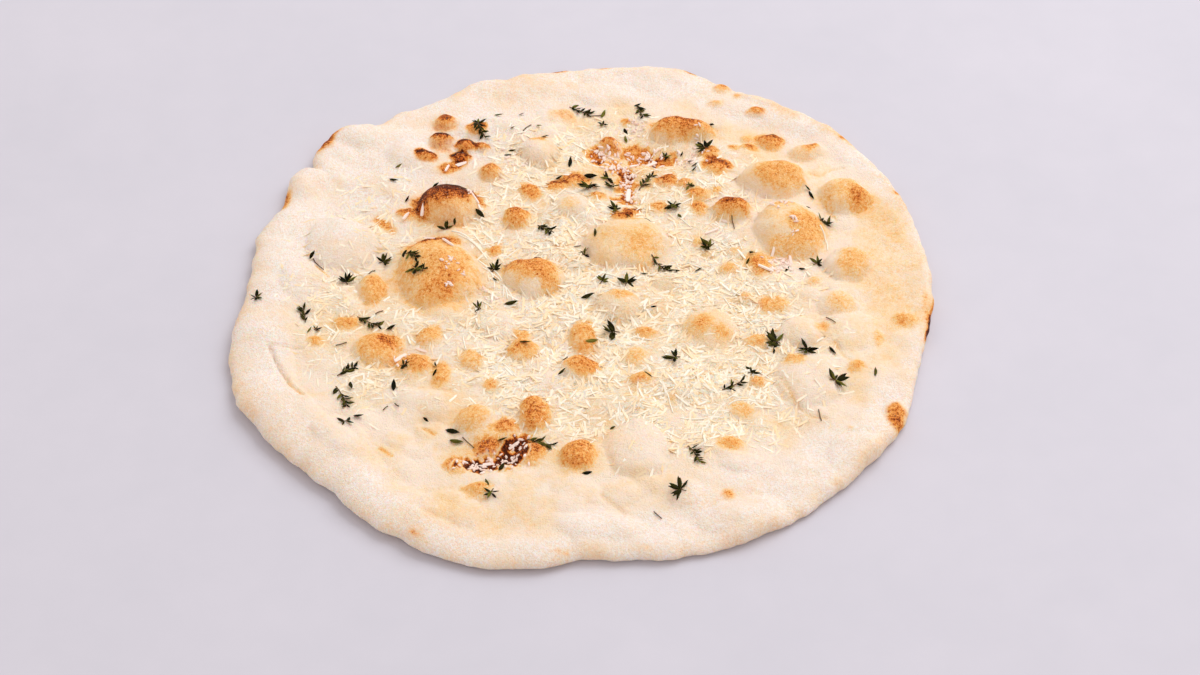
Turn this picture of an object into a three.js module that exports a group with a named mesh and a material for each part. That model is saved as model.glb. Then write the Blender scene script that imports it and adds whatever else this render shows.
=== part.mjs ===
import * as THREE from 'three';

// A thin round focaccia, baked flat: one piece of bread about 32 cm across, with a broad soft
// rim on its left and front left, a thin one on its right, and blisters all over its top.
// Millimetres, +Z up, +Y to the back. The origin is the middle of the underside.

// Driving sizes.
const sheetThickness = 6.5;                 // bread between the blisters
const rimCrest = 0.4;                       // where the rim is highest, as a share of its width
const noseHeight = 0.42;                    // the widest level of the edge, as a share of its height
const underTuck = 0.7;                      // how far the edge tucks under, as a share of its depth
const blisterSink = 1;                      // how deep a blister's foot reaches into the sheet
const blisterCrease = 1;                    // softness of the crease at a blister's foot, at most,
const creaseShare = 0.5;                    // and as a share of a low blister's height
const frontCrease = 1.5;                    // how much softer that crease is at the front,
const backCrease = 0.5;                     // and how much sharper at the back
const blisterFullness = 0.55;               // below 1 a blister is round-topped with steep sides

// The edge, given around the bread from +X towards +Y at even steps.
const rimReach = [
  160.5, 163, 166, 167.5, 164, 167.5, 162.5, 160, 156, 160.5, 159.5, 157,
  155.5, 164.5, 165.5, 162, 166, 167, 157.5, 161, 163, 161.5, 162, 157,
];
const rimRise = [0.5, 0.8, 1.2, 1.2, 1.5, 2.5, 3.2, 4, 3.2, 1.5, 0.8, 0.5];
const rimWidth = [14, 16, 22, 24, 24, 28, 30, 28, 26, 22, 18, 14];
const rimFold = [0, 0, 0, 0, 0.1, 0.1, 0.5, 1, 0.3, 0, 0, 0];      // 1 is rolled in to a crease
const noseDepth = [4, 4, 5, 6, 7, 9, 12, 14, 13, 9, 6, 4];

// Small lobes and nicks of the edge: where in degrees, half width in degrees, how far out.
const edgeLobes = [
  { at: 104, wide: 1.5, out: -1.2 },
  { at: 110.5, wide: 3, out: 3 },
  { at: 125.5, wide: 2, out: 1.5 },
  { at: 130.5, wide: 3, out: -3.2 },
  { at: 139, wide: 5, out: 5 },
  { at: 146.2, wide: 1.2, out: -3.6 },
  { at: 150.2, wide: 2.4, out: 2.2 },
  { at: 157.5, wide: 3, out: -3.3 },
  { at: 166, wide: 2, out: 1.5 },
  { at: 204, wide: 4, out: 2 },
  { at: 228.5, wide: 2, out: -1.6 },
  { at: 241.5, wide: 1.5, out: -1.2 },
  { at: 264, wide: 4, out: 2 },
  { at: 270, wide: 1.5, out: -0.9 },
  { at: 286, wide: 1.2, out: -0.7 },
];

// Low swells that the sheet rises and falls in: height, wave length, heading, phase.
const swells = [
  { height: 0.7, length: 74, heading: 20, phase: 0.4 },
  { height: 0.6, length: 58, heading: 97, phase: 1.9 },
  { height: 0.5, length: 43, heading: 151, phase: 3.1 },
  { height: 0.4, length: 35, heading: 62, phase: 5.2 },
];

// Blisters: centre, half width, half depth, height over the sheet, turn in degrees.
const blisters = [
  { x: -64, y: 57, wide: 15.5, deep: 13, high: 12, turn: 0 },
  { x: -67, y: 12, wide: 19.5, deep: 22.5, high: 10, turn: 8 },
  { x: -24, y: 9.5, wide: 15, deep: 11, high: 9.5, turn: 0 },
  { x: -32, y: 50, wide: 7, deep: 7, high: 6, turn: 0 },
  { x: 20, y: 32, wide: 20, deep: 17, high: 9.5, turn: 0 },
  { x: 43, y: 111.5, wide: 12, deep: 7, high: 8, turn: 0 },
  { x: 51.5, y: 111, wide: 11.5, deep: 7, high: 8, turn: 0 },
  { x: 90, y: 76.5, wide: 17, deep: 12, high: 10.5, turn: 0 },
  { x: 97, y: 41, wide: 18, deep: 18.5, high: 10.5, turn: 0 },
  { x: 70, y: 54.5, wide: 9, deep: 6.5, high: 8, turn: 0 },
  { x: 124, y: 65, wide: 13.5, deep: 11, high: 7.5, turn: -15 },
  { x: 122, y: 18.5, wide: 11, deep: 10.5, high: 7, turn: 0 },
  { x: -22, y: 97, wide: 9.5, deep: 9.5, high: 6, turn: 0 },
  { x: -6, y: 57, wide: 9.5, deep: 7.5, high: 4.5, turn: 0 },
  { x: -68, y: 119.5, wide: 6.5, deep: 5, high: 4, turn: 0 },
  { x: -69, y: 104.5, wide: 6, deep: 5, high: 4.5, turn: 0 },
  { x: -98, y: 4, wide: 7, deep: 11, high: 5, turn: 0 },
  { x: -94, y: -36, wide: 12, deep: 9, high: 6, turn: 0 },
  { x: -76, y: -47, wide: 10, deep: 9, high: 5, turn: 0 },
  { x: -27, y: -37, wide: 8.5, deep: 8, high: 5, turn: 0 },
  { x: -2, y: -49, wide: 9, deep: 8.5, high: 5.5, turn: 0 },
  { x: 16, y: -10, wide: 11, deep: 9, high: 6, turn: 0 },
  { x: -48, y: -81, wide: 9, deep: 8, high: 5, turn: 0 },
  { x: -21, y: -77, wide: 7.5, deep: 10, high: 6, turn: 0 },
  { x: -2, y: -101, wide: 8, deep: 10, high: 6.5, turn: 0 },
  { x: 24, y: -97, wide: 15, deep: 17, high: 6, turn: 0 },
  { x: 57, y: -23, wide: 13, deep: 13, high: 6, turn: 0 },
  { x: 116, y: -8, wide: 10, deep: 9, high: 4.5, turn: 0 },
  { x: 98, y: -26, wide: 11, deep: 10, high: 5, turn: 0 },
  { x: 100, y: -56, wide: 15, deep: 17, high: 5, turn: 0 },
  { x: 107, y: 99, wide: 9, deep: 7, high: 4, turn: 0 },
  { x: -113, y: 33, wide: 17, deep: 18, high: 6, turn: 20 },
  { x: 121, y: -23, wide: 14, deep: 13, high: 4, turn: 0 },
  { x: 8, y: -141, wide: 20, deep: 9, high: 3, turn: 0 },
  { x: 68, y: -134, wide: 20, deep: 9, high: 3, turn: 20 },
  { x: -55, y: -131, wide: 16, deep: 9, high: 3, turn: -20 },
  { x: -136, y: 78, wide: 12, deep: 14, high: 3, turn: 30 },
  { x: -112, y: 112, wide: 14, deep: 12, high: 3, turn: -40 },
  { x: -128, y: 8, wide: 12, deep: 15, high: 3, turn: 10 },
  { x: -85, y: 95, wide: 12, deep: 10, high: 2.5, turn: 0 },
  { x: 10, y: 142, wide: 18, deep: 9, high: 2, turn: 0 },
  { x: 88, y: 138, wide: 14, deep: 7, high: 1.5, turn: -25 },
  { x: -40, y: -20, wide: 10, deep: 9, high: 3, turn: 0 },
  { x: 45, y: -60, wide: 12, deep: 10, high: 3, turn: 0 },
  { x: -105, y: -92, wide: 12, deep: 15, high: 3, turn: 40 },
  { x: 118, y: -100, wide: 14, deep: 11, high: 3, turn: 40 },
  { x: -70, y: -70, wide: 14, deep: 10, high: 3, turn: 0 },
  { x: 40, y: 8, wide: 9, deep: 8, high: 3.5, turn: 0 },
  { x: -5, y: 20, wide: 8, deep: 7, high: 3, turn: 0 },
];

// Hollows between the blisters, where the bread has burnt in: as blisters, but deep.
const hollows = [
  { x: 23, y: 94, wide: 24, deep: 8, high: 2.5, turn: 0 },
  { x: 21, y: 76, wide: 7, deep: 18, high: 2.5, turn: 0 },
  { x: -38, y: -102, wide: 16, deep: 9, high: 2.5, turn: 25 },
];

// How finely the bread is faceted.
const topRings = 34;                        // rings from the middle to the edge
const noseSteps = 3;                        // steps over the rounded edge, above its widest level
const tuckSteps = 2;                        // steps below it, down to the underside
const baseReach = 60;                       // reach of the single large facet under the middle

const degrees = Math.PI / 180;

/** The value at an angle, in radians, from values given around the bread at even steps. */
function around(values, angle) {
  const count = values.length;
  const turns = angle / (2 * Math.PI);
  const place = (turns - Math.floor(turns)) * count;
  const step = Math.floor(place);
  const t = place - step;
  const [before, start, end, after] = [-1, 0, 1, 2].map((k) => values[(step + k + count) % count]);
  const slopeIn = (end - before) / 2;
  const slopeOut = (after - start) / 2;
  const bend = 3 * (end - start) - 2 * slopeIn - slopeOut;
  const twist = 2 * (start - end) + slopeIn + slopeOut;
  return start + t * (slopeIn + t * (bend + t * twist));
}

/** How far the bread reaches from its middle, at an angle. */
function edgeReach(angle) {
  let reach = around(rimReach, angle);
  for (const lobe of edgeLobes) {
    const off = Math.sin((angle - lobe.at * degrees) / 2) * 2 / (lobe.wide * degrees);
    reach += lobe.out * Math.exp(-off * off);
  }
  return reach;
}

/** The rim's height over the sheet: full out to its crest, then down, softly or rolled in. */
function rimHeight(angle, inset) {
  const share = inset / around(rimWidth, angle);
  const down = Math.min(Math.max((share - rimCrest) / (1 - rimCrest), 0), 1);
  const soft = Math.cos(down * Math.PI / 2) ** 2;
  const rolled = Math.sqrt(1 - down * down);
  const fold = Math.min(Math.max(around(rimFold, angle), 0), 1);
  return around(rimRise, angle) * THREE.MathUtils.lerp(soft, rolled, fold);
}

/** The low swells of the sheet at a point. */
function swell(x, y) {
  let height = 0;
  for (const wave of swells) {
    const along = x * Math.cos(wave.heading * degrees) + y * Math.sin(wave.heading * degrees);
    height += wave.height * Math.sin(along * 2 * Math.PI / wave.length + wave.phase);
  }
  return height;
}

/** How soft the crease at a blister's foot is: the skin drapes to the front, and tucks behind. */
function footCrease(blister, y) {
  const soft = Math.min(blisterCrease, creaseShare * blister.high);
  const back = THREE.MathUtils.smoothstep((y - blister.y) / blister.deep, -0.6, 0.6);
  return soft * THREE.MathUtils.lerp(frontCrease, backCrease, back);
}

/** How far out in a blister or hollow a point lies: 0 at its middle, 1 at its foot. */
function footShare(spot, x, y) {
  const turn = spot.turn * degrees;
  const across = (x - spot.x) * Math.cos(turn) + (y - spot.y) * Math.sin(turn);
  const along = (y - spot.y) * Math.cos(turn) - (x - spot.x) * Math.sin(turn);
  return Math.hypot(across / spot.wide, along / spot.deep);
}

/** The larger of two heights, rounded where they cross. */
function softMax(low, high, softness) {
  const mix = Math.min(Math.max(0.5 + (high - low) / (2 * softness), 0), 1);
  return THREE.MathUtils.lerp(low, high, mix) + softness * mix * (1 - mix);
}

/** The height of the top at a point inside the rounded edge. */
function topHeight(x, y, angle, inset) {
  let base = sheetThickness + rimHeight(angle, inset) + swell(x, y);
  for (const hollow of hollows) {
    base -= hollow.high * Math.exp(-2 * footShare(hollow, x, y) ** 2);
  }
  let height = base;
  for (const blister of blisters) {
    const share = footShare(blister, x, y);
    if (share < 1) {
      const cap = (1 - share * share) ** blisterFullness;
      const dome = base - blisterSink + (blister.high + blisterSink) * cap;
      height = softMax(height, dome, footCrease(blister, y));
    }
  }
  return height;
}

/** A point at an angle and an inset from the edge: its x and y. */
function inward(angle, inset) {
  const radius = edgeReach(angle) - inset;
  return [radius * Math.cos(angle), radius * Math.sin(angle)];
}

/** The height of the top where it starts to round over to the edge. */
function shoulderHeight(angle) {
  const inset = around(noseDepth, angle);
  return topHeight(...inward(angle, inset), angle, inset);
}

/** One ring of the top, at a share of the way from the middle to the shoulder. */
function topRing(share, count) {
  return Array.from({ length: count }, (_, step) => {
    const angle = 2 * Math.PI * step / count;
    const reach = edgeReach(angle);
    const inset = reach - share * (reach - around(noseDepth, angle));
    const [x, y] = inward(angle, inset);
    return [x, y, topHeight(x, y, angle, inset)];
  });
}

/** One ring of the rounded edge: tilt is 90 degrees at the shoulder, 0 at the widest level. */
function edgeRing(tilt, count) {
  return Array.from({ length: count }, (_, step) => {
    const angle = 2 * Math.PI * step / count;
    const depth = around(noseDepth, angle) * (tilt < 0 ? underTuck : 1);
    const shoulder = shoulderHeight(angle);
    const widest = noseHeight * shoulder;
    const span = tilt < 0 ? widest : shoulder - widest;
    const [x, y] = inward(angle, depth * (1 - Math.cos(tilt)));
    return [x, y, widest + span * Math.sin(tilt)];
  });
}

/** A flat ring of the underside. */
function baseRing(reach, count) {
  return Array.from({ length: count }, (_, step) => {
    const angle = 2 * Math.PI * step / count;
    return [reach * Math.cos(angle), reach * Math.sin(angle), 0];
  });
}

/** Every ring of the skin in order: over the top from its middle, round the edge and under. */
function breadRings() {
  const edgeCount = 6 * topRings;
  const rings = [[[0, 0, topHeight(0, 0, 0, edgeReach(0))]]];
  for (let ring = 1; ring <= topRings; ring += 1) {
    rings.push(topRing(ring / topRings, 6 * ring));
  }
  for (let step = 1; step <= noseSteps; step += 1) {
    rings.push(edgeRing(Math.PI / 2 * (1 - step / noseSteps), edgeCount));
  }
  for (let step = 1; step <= tuckSteps; step += 1) {
    rings.push(edgeRing(-Math.PI / 2 * step / tuckSteps, edgeCount));
  }
  rings.push(baseRing(baseReach, 3));
  return rings;
}

/** Triangles between one ring and the next, whatever their two counts are. */
function stitch(inner, outer, triangles) {
  const innerSteps = inner.length === 1 ? 0 : inner.length;
  let i = 0;
  let o = 0;
  while (i < innerSteps || o < outer.length) {
    const outerIsNext = (o + 1) / outer.length <= (i + 1) / inner.length;
    if (i >= innerSteps || (o < outer.length && outerIsNext)) {
      triangles.push(inner[i % inner.length], outer[o], outer[(o + 1) % outer.length]);
      o += 1;
    } else {
      triangles.push(inner[i], outer[o % outer.length], inner[(i + 1) % inner.length]);
      i += 1;
    }
  }
}

/** The closed skin of the bread, with its box centred over the origin. */
function breadGeometry() {
  const positions = [];
  const triangles = [];
  let previous = null;
  for (const ring of breadRings()) {
    const indices = ring.map((point) => positions.push(...point) / 3 - 1);
    if (previous) {
      stitch(previous, indices, triangles);
    }
    previous = indices;
  }
  triangles.push(previous[0], previous[2], previous[1]);

  const geometry = new THREE.BufferGeometry();
  geometry.setAttribute('position', new THREE.Float32BufferAttribute(positions, 3));
  geometry.setIndex(triangles);
  geometry.computeBoundingBox();
  const middle = geometry.boundingBox.getCenter(new THREE.Vector3());
  geometry.translate(-middle.x, -middle.y, 0);
  geometry.computeVertexNormals();
  return geometry;
}

const crust = new THREE.MeshStandardMaterial({ color: 0xf1d9b6, roughness: 0.85, metalness: 0 });

const focaccia = new THREE.Mesh(breadGeometry(), crust);
focaccia.name = 'focaccia';

const group = new THREE.Group();
group.add(focaccia);

export default group;
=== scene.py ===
import functools
import math

import bpy
import numpy as np
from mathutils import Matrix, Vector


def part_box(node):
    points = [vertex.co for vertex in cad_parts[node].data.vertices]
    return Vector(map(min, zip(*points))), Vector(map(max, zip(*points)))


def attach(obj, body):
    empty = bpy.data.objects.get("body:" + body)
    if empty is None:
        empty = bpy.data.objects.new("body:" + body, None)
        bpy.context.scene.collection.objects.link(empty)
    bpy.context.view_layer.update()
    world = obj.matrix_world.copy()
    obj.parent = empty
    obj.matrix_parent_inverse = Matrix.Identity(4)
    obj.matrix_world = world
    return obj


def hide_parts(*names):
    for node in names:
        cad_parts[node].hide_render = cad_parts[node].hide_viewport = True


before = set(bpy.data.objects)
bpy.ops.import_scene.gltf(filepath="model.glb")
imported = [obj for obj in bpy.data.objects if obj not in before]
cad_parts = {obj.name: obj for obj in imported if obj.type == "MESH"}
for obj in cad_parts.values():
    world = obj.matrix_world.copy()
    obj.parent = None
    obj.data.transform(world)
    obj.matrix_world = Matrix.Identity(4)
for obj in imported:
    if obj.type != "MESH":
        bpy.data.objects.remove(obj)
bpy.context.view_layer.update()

# A thin round focaccia: one piece of bread with a soft floury rim and browned blisters, strewn
# with fine grated cheese and thyme. The tables are in millimetres on the bread's own plan,
# +X to the right and +Y to the back, and MM turns them into metres as the meshes are made.
MM = 0.001

# ---------------------------------------------------------------- the bread's main form

SHEET_THICKNESS = 6.5
RIM_CREST = 0.4
NOSE_HEIGHT = 0.42
UNDER_TUCK = 0.7
BLISTER_SINK = 1.0
BLISTER_CREASE = 1.0
BLISTER_FULLNESS = 0.55

# Given around the bread from +X towards +Y at even steps.
RIM_REACH = [
    160.5, 163, 166, 167.5, 164, 167.5, 162.5, 160, 156, 160.5, 159.5, 157,
    155.5, 164.5, 165.5, 162, 166, 167, 157.5, 161, 163, 161.5, 162, 157,
]
RIM_RISE = [0.5, 0.8, 1.2, 1.2, 1.5, 2.5, 3.2, 4, 3.2, 1.5, 0.8, 0.5]
RIM_WIDTH = [14, 16, 22, 24, 24, 28, 30, 28, 26, 22, 18, 14]
RIM_FOLD = [0, 0, 0, 0, 0.1, 0.1, 0.5, 1, 0.3, 0, 0, 0]
NOSE_DEPTH = [4, 4, 5, 6, 7, 9, 12, 14, 13, 9, 6, 4]
FLOUR_WIDTH = [6, 14, 32, 40, 74, 80, 32, 25, 20, 26, 46, 22]

# Small lobes and nicks of the edge: where, half width (degrees), how far out.
EDGE_LOBES = [
    (104, 1.5, -1.2), (110.5, 3, 3), (125.5, 2, 1.5), (130.5, 3, -3.2), (139, 5, 5),
    (146.2, 1.2, -3.6), (150.2, 2.4, 2.2), (157.5, 3, -3.3), (166, 2, 1.5), (204, 4, 2),
    (228.5, 2, -1.6), (241.5, 1.5, -1.2), (264, 4, 2), (270, 1.5, -0.9), (286, 1.2, -0.7),
]

# Low swells of the sheet: height, wave length, heading in degrees, phase.
SWELLS = [(0.7, 74, 20, 0.4), (0.6, 58, 97, 1.9), (0.5, 43, 151, 3.1), (0.4, 35, 62, 5.2)]

# Large blisters: x, y, half width, half depth, height over the sheet, turn in degrees.
BLISTERS = [
    (-64, 57, 15.5, 13, 12, 0), (-67, 12, 19.5, 22.5, 10, 8), (-24, 9.5, 15, 11, 9.5, 0),
    (-32, 50, 7, 7, 6, 0), (20, 32, 20, 17, 9.5, 0), (43, 111.5, 12, 7, 8, 0),
    (51.5, 111, 11.5, 7, 8, 0),
    (90, 76.5, 17, 12, 10.5, 0), (97, 41, 18, 18.5, 10.5, 0), (70, 54.5, 9, 6.5, 8, 0),
    (124, 65, 13.5, 11, 7.5, -15), (122, 18.5, 11, 10.5, 7, 0), (-22, 97, 9.5, 9.5, 6, 0),
    (-6, 57, 9.5, 7.5, 4.5, 0), (-68, 119.5, 6.5, 5, 4, 0), (-69, 104.5, 6, 5, 4.5, 0),
    (-98, 4, 7, 11, 5, 0), (-94, -36, 12, 9, 6, 0), (-76, -47, 10, 9, 5, 0),
    (-27, -37, 8.5, 8, 5, 0), (-2, -49, 9, 8.5, 5.5, 0), (16, -10, 11, 9, 6, 0),
    (-48, -81, 9, 8, 5, 0), (-21, -77, 7.5, 10, 6, 0), (-2, -101, 8, 10, 6.5, 0),
    (24, -97, 15, 17, 6, 0), (57, -23, 13, 13, 6, 0), (116, -8, 10, 9, 4.5, 0),
    (98, -26, 11, 10, 5, 0), (100, -56, 15, 17, 5, 0), (107, 99, 9, 7, 4, 0),
    (-113, 33, 17, 18, 6, 20), (121, -23, 14, 13, 4, 0), (8, -141, 20, 9, 3, 0),
    (68, -134, 20, 9, 3, 20), (-55, -131, 16, 9, 3, -20), (-136, 78, 12, 14, 3, 30),
    (-112, 112, 14, 12, 3, -40), (-128, 8, 12, 15, 3, 10), (-85, 95, 12, 10, 2.5, 0),
    (10, 142, 18, 9, 2, 0), (88, 138, 14, 7, 1.5, -25), (-40, -20, 10, 9, 3, 0),
    (45, -60, 12, 10, 3, 0), (-105, -92, 12, 15, 3, 40), (118, -100, 14, 11, 3, 40),
    (-70, -70, 14, 10, 3, 0), (40, 8, 9, 8, 3.5, 0), (-5, 20, 8, 7, 3, 0),
]

# Thin folds and tears of the skin: how deep, half width, how brown (partly real browning, partly
# painted shade in the fold), then the points they follow.
CREASES = [
    (2.2, 0.8, 0.2, [(-141, -37), (-136, -49), (-130, -60), (-124, -67)]),
    (0.9, 0.7, 0.12, [(-141, -36), (-126, -36)]), (0.7, 0.8, 0.45, [(-124, 17), (-118, 11)]),
    (0.6, 0.8, 0.4, [(-88, -97), (-83, -101)]), (0.6, 0.8, 0.35, [(-70, -84), (-65, -88)]),
    (0.6, 0.8, 0.15, [(-60, 30), (-50, 8), (-38, -2), (-30, -10)]),
    (0.9, 0.8, 0.16, [(88, -56), (94, -70), (100, -78), (107, -79)]),
    (0.5, 0.7, 0.15, [(113, -32), (117, -42), (128, -50)]),
    (0.6, 0.7, 0.2, [(116, 62), (118, 52)]), (0.8, 1.1, 0.1, [(8, -124), (18, -133)]),
    (0.5, 0.9, 0.22, [(-14, -155), (-6, -156)]), (0.5, 0.9, 0.25, [(20, -154), (28, -153)]),
    (0.6, 0.9, 0.14, [(-74, -145), (-66, -150)]),
    (0.7, 0.5, 0.2, [(66, 72), (71, 66), (77, 61), (86, 60)]),
    (0.7, 0.5, 0.2, [(114, 60), (117, 53), (120, 49)]),
    (0.5, 0.5, 0.2, [(107, 83), (113, 80), (119, 86), (125, 87)]),
    (0.8, 0.6, 0.22, [(-51, 6), (-46, -2), (-39, -4), (-31, -10)]),
    (0.8, 0.6, 0.22, [(-51, 27), (-44, 19), (-40, 9)]),
]

# Hollows that have burnt in between the blisters: as blisters, but deep.
HOLLOWS = [(23, 94, 24, 8, 2.5, 0), (21, 76, 7, 18, 2.5, 0), (-38, -102, 16, 9, 2.5, 25)]

# ---------------------------------------------------------------- the bread's fine form

# Small blisters: x, y, half width, half depth, height, how brown their caps are (0 to 1).
SMALL_BLISTERS = [
    (-77, 93, 4.5, 4.5, 4, 0.9), (-53, 114, 4.5, 4.5, 4, 0.78), (-57, 102, 4.5, 4, 4, 0.9),
    (-60, 94, 4.5, 4, 4, 1.0), (-50, 101, 4, 3.5, 3, 0.7), (-45, 83, 5, 6, 4, 0.55),
    (13, 103, 4.5, 5, 4.5, 0.6), (-26, 70, 5, 5, 2.5, 0.5),
    (-13, 73, 4.5, 4, 2, 0.8), (-5, 76, 6, 4.5, 2, 0.7), (7, 64, 4, 4, 2, 0.6),
    (-84, 52, 4, 4, 1.5, 0.7), (-42, 30, 3.5, 3.5, 1.5, 0.45), (-108, -20, 6, 5, 2, 0.33),
    (-121, -31, 3.5, 3.5, 1.5, 0.4), (-85, -32, 6, 5, 2.5, 0.42), (-70, -29, 6, 6, 2.5, 0.5),
    (-63, -52, 5, 7, 3, 0.5), (-28, -26, 5, 5, 1.5, 0.45), (0, -29, 6, 9, 4, 0.44),
    (28, -25, 6, 3.5, 1.5, 0.36), (-50, -43, 6.5, 6, 2.5, 0.38), (-41, -59, 4.5, 5, 2, 0.4),
    (25, -55, 5.5, 5, 2, 0.36), (23, -41, 6.5, 6, 2, 0.3), (39, -67, 3.5, 3.5, 1.5, 0.4),
    (-34, -86, 5.5, 5.5, 2.5, 0.65), (-23, -99, 6.5, 7, 3, 0.6), (-42, -96, 5.5, 5.5, 2, 0.6),
    (-55, -106, 5, 5, 2, 0.62), (-45, -122, 5.5, 5, 2, 0.5), (62, -125, 3, 3, 1, 0.5),
    (64, -95, 5.5, 4.5, 2, 0.4), (69, -73, 5.5, 4.5, 2, 0.3), (79, -31, 7, 5, 2.5, 0.35),
    (94, -45, 4.5, 4.5, 2, 0.45), (77, -57, 4.5, 4.5, 2, 0.45), (86, -8, 7, 6, 2.5, 0.36),
    (75, -3, 4.5, 4, 2, 0.3), (106, 7, 3.5, 3, 1.5, 0.3), (108, -23, 3.5, 3, 1.5, 0.4),
    (146, -18, 6, 5.5, 2, 0.38), (133, -29, 2.5, 4, 1, 0.35), (122, -48, 4, 4, 1.5, 0.45),
    (138, -77, 4.5, 9, 1.5, 0.35), (118, -85, 2, 2, 0.5, 0.3), (81, 17, 6.5, 9, 2.5, 0.46),
    (54, 35, 3.5, 3.5, 1.5, 0.3), (58, 27, 3.5, 3.5, 1.5, 0.3), (70, 28, 3.5, 3.5, 1.5, 0.3),
    (67, 15, 4.5, 4, 2, 0.35), (55, 66, 5.5, 4.5, 2, 0.5), (63, 69, 3, 3, 1.5, 0.5),
    (54, 56, 4.5, 4.5, 1.5, 0.6), (36, 58, 5, 4, 2, 0.5), (39, 77, 5.5, 6, 2.5, 0.5),
    (48, 74, 4.5, 4.5, 2, 0.4), (22, 55, 4.5, 4, 2, 0.75), (17, 51, 4.5, 4, 2, 0.75),
    (60, 96, 4.5, 4.5, 2, 0.7), (-15, 125, 4.5, 5, 1.5, 0.3), (-9, 125, 4.5, 5, 1.5, 0.3),
    (20, 119, 3, 3, 1.5, 0.5), (68, 146, 4.5, 4, 1.5, 0.5), (75, 138, 2.5, 2.5, 1, 0.4),
    (64, 133, 3.5, 3, 1, 0.42), (73, 101, 3.5, 2.5, 1, 0.55), (81, 101, 3.5, 2.5, 1, 0.55),
    (80, 107, 3, 3, 1, 0.3), (90, 107, 5.5, 5.5, 3.8, 0.72), (63, 86, 6.5, 6, 3, 0.8),
    (84, 125, 4.5, 3.5, 2, 0.6), (109, 99, 3.5, 3, 1, 0.6), (126, 107, 2.5, 2, 1, 0.4),
    (148, 66, 2, 2, 0.5, 0.4), (54, -23, 5, 5, 1.5, 0.34), (62, -27, 4.5, 4, 1.5, 0.3),
    (-122, 103, 2.5, 6, 0.5, 0.4), (9, 162, 4, 1.5, 0.3, 0.5), (-13, 160, 4, 1.5, 0.3, 0.5),
    (55, 158, 3.5, 2, 0.5, 0.6), (-70, -147, 6, 2, 0.3, 0.25),
]

# How brown a small blister is all over; what is above this goes mostly into its dark back.
CAP_BROWN = 0.4

# How much wider than its row a small blister swells, and how far the burnt pits sink.
SMALL_BLISTER_GROWTH = 1.05
BURNT_SINK = 0.8

# Low pale bubbles between the browned ones: how many, how far from the middle, how large.
PALE_BUBBLES = 190
BUBBLE_REACH = 140
BUBBLE_SIZE = (3.5, 9)

# Browned patches that aren't small blisters: x, y, half width, half depth, brown, turn.
BROWNINGS = [
    (-66, 54, 15, 13, 0.38, 0), (-64, 62.3, 17, 10.6, 0.96, 0), (-78, 56, 4, 9, 0.6, 0),
    (-69, 12, 19.5, 23, 0.42, 8), (-67, -6, 13, 9, 0.12, 0), (-74, 30.5, 9, 3.5, 0.6, 20),
    (-64, 33, 8, 2.5, 0.55, -5), (-24, 11.5, 13, 9.5, 0.62, 0), (-26, 17.5, 9, 3, 0.35, 0),
    (-15, 4, 6, 7, 0.35, 0), (-32, 50, 6.5, 7, 0.62, 0), (27.5, 26.5, 11, 12, 0.25, 0),
    (10, 35, 7, 5, 0.08, 0), (20, 45, 11, 3, 0.25, 0), (21, 33, 17, 13, 0.06, 0),
    (47, 112, 16, 7.5, 0.58, -3), (40, 115.5, 8, 2.5, 0.45, 0), (56, 115.5, 5, 2, 0.3, 0),
    (93, 74, 12.5, 9, 0.46, 0), (92, 84, 13, 3, 0.25, 0), (98, 82, 6, 4, 0.2, 0),
    (105, 38, 10, 11, 0.5, 0), (87, 38, 6, 12, 0.04, 0), (95, 27, 10, 5, 0.35, 0),
    (93, 53, 8, 4, 0.25, 0), (98, 41, 16, 16, 0.12, 0), (70, 55, 8.5, 6.5, 0.7, 0),
    (69, 57.5, 7, 4, 0.5, 0), (130.5, 61.5, 7, 7.5, 0.44, 0), (124, 65, 13, 10.5, 0.32, 0),
    (124, 17.5, 7.5, 9, 0.4, 0), (-68, 118, 7, 6.5, 0.46, 0), (-68, 121.5, 4, 3, 0.72, 0),
    (-69, 102.5, 7, 6.5, 0.44, 0), (-69, 106.5, 5.5, 3, 0.84, 0), (-97, 3, 6.5, 11.5, 0.42, 0),
    (-93, -36, 11, 9, 0.4, 0), (-76, -46, 9.5, 8, 0.62, 0), (-27, -37, 8, 7.5, 0.46, 0),
    (-1, -48, 8, 7.5, 0.58, 0), (16, -7, 6, 4, 0.4, 0), (-49, -81, 7.5, 7, 0.36, 0),
    (-21, -77, 7, 9.5, 0.65, 0), (-2, -102, 8.5, 10, 0.6, 0), (117, -8, 7.5, 7, 0.32, 0),
    (50, -24, 6, 8, 0.22, 0), (-93, 45, 9, 3, 0.5, -50), (-22, 103, 4.5, 3, 0.6, 0),
    (-6, 63.5, 6, 2, 0.55, 0), (-6, 56, 5, 4, 0.2, 0), (-64, 88, 8, 3.5, 0.62, 30),
    (158, -16, 3, 14, 0.3, 5), (138, -78, 4.5, 8.5, 0.32, 0), (-28, 140, 30, 12, 0.14, 0),
    (144, 10, 18, 56, 0.13, 0), (-52, -138, 34, 12, 0.12, -8), (-128, -84, 24, 12, 0.1, -45),
    (107, 97, 8, 6, 0.16, 0), (98, 127, 9, 6, 0.18, -25), (118, 115, 9, 4, 0.22, -40),
    (126, 107, 8, 2.5, 0.3, -40), (-38, -98, 22, 13, 0.2, 20), (20, 88, 28, 17, 0.24, 0),
]

# How a browned patch fades from its middle to its foot: how strong, from where, to where.
BROWN_FADE = [(0.2, 1.6, 0.8), (0.55, 1.15, 0.7), (0.25, 0.85, 0.1)]

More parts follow.
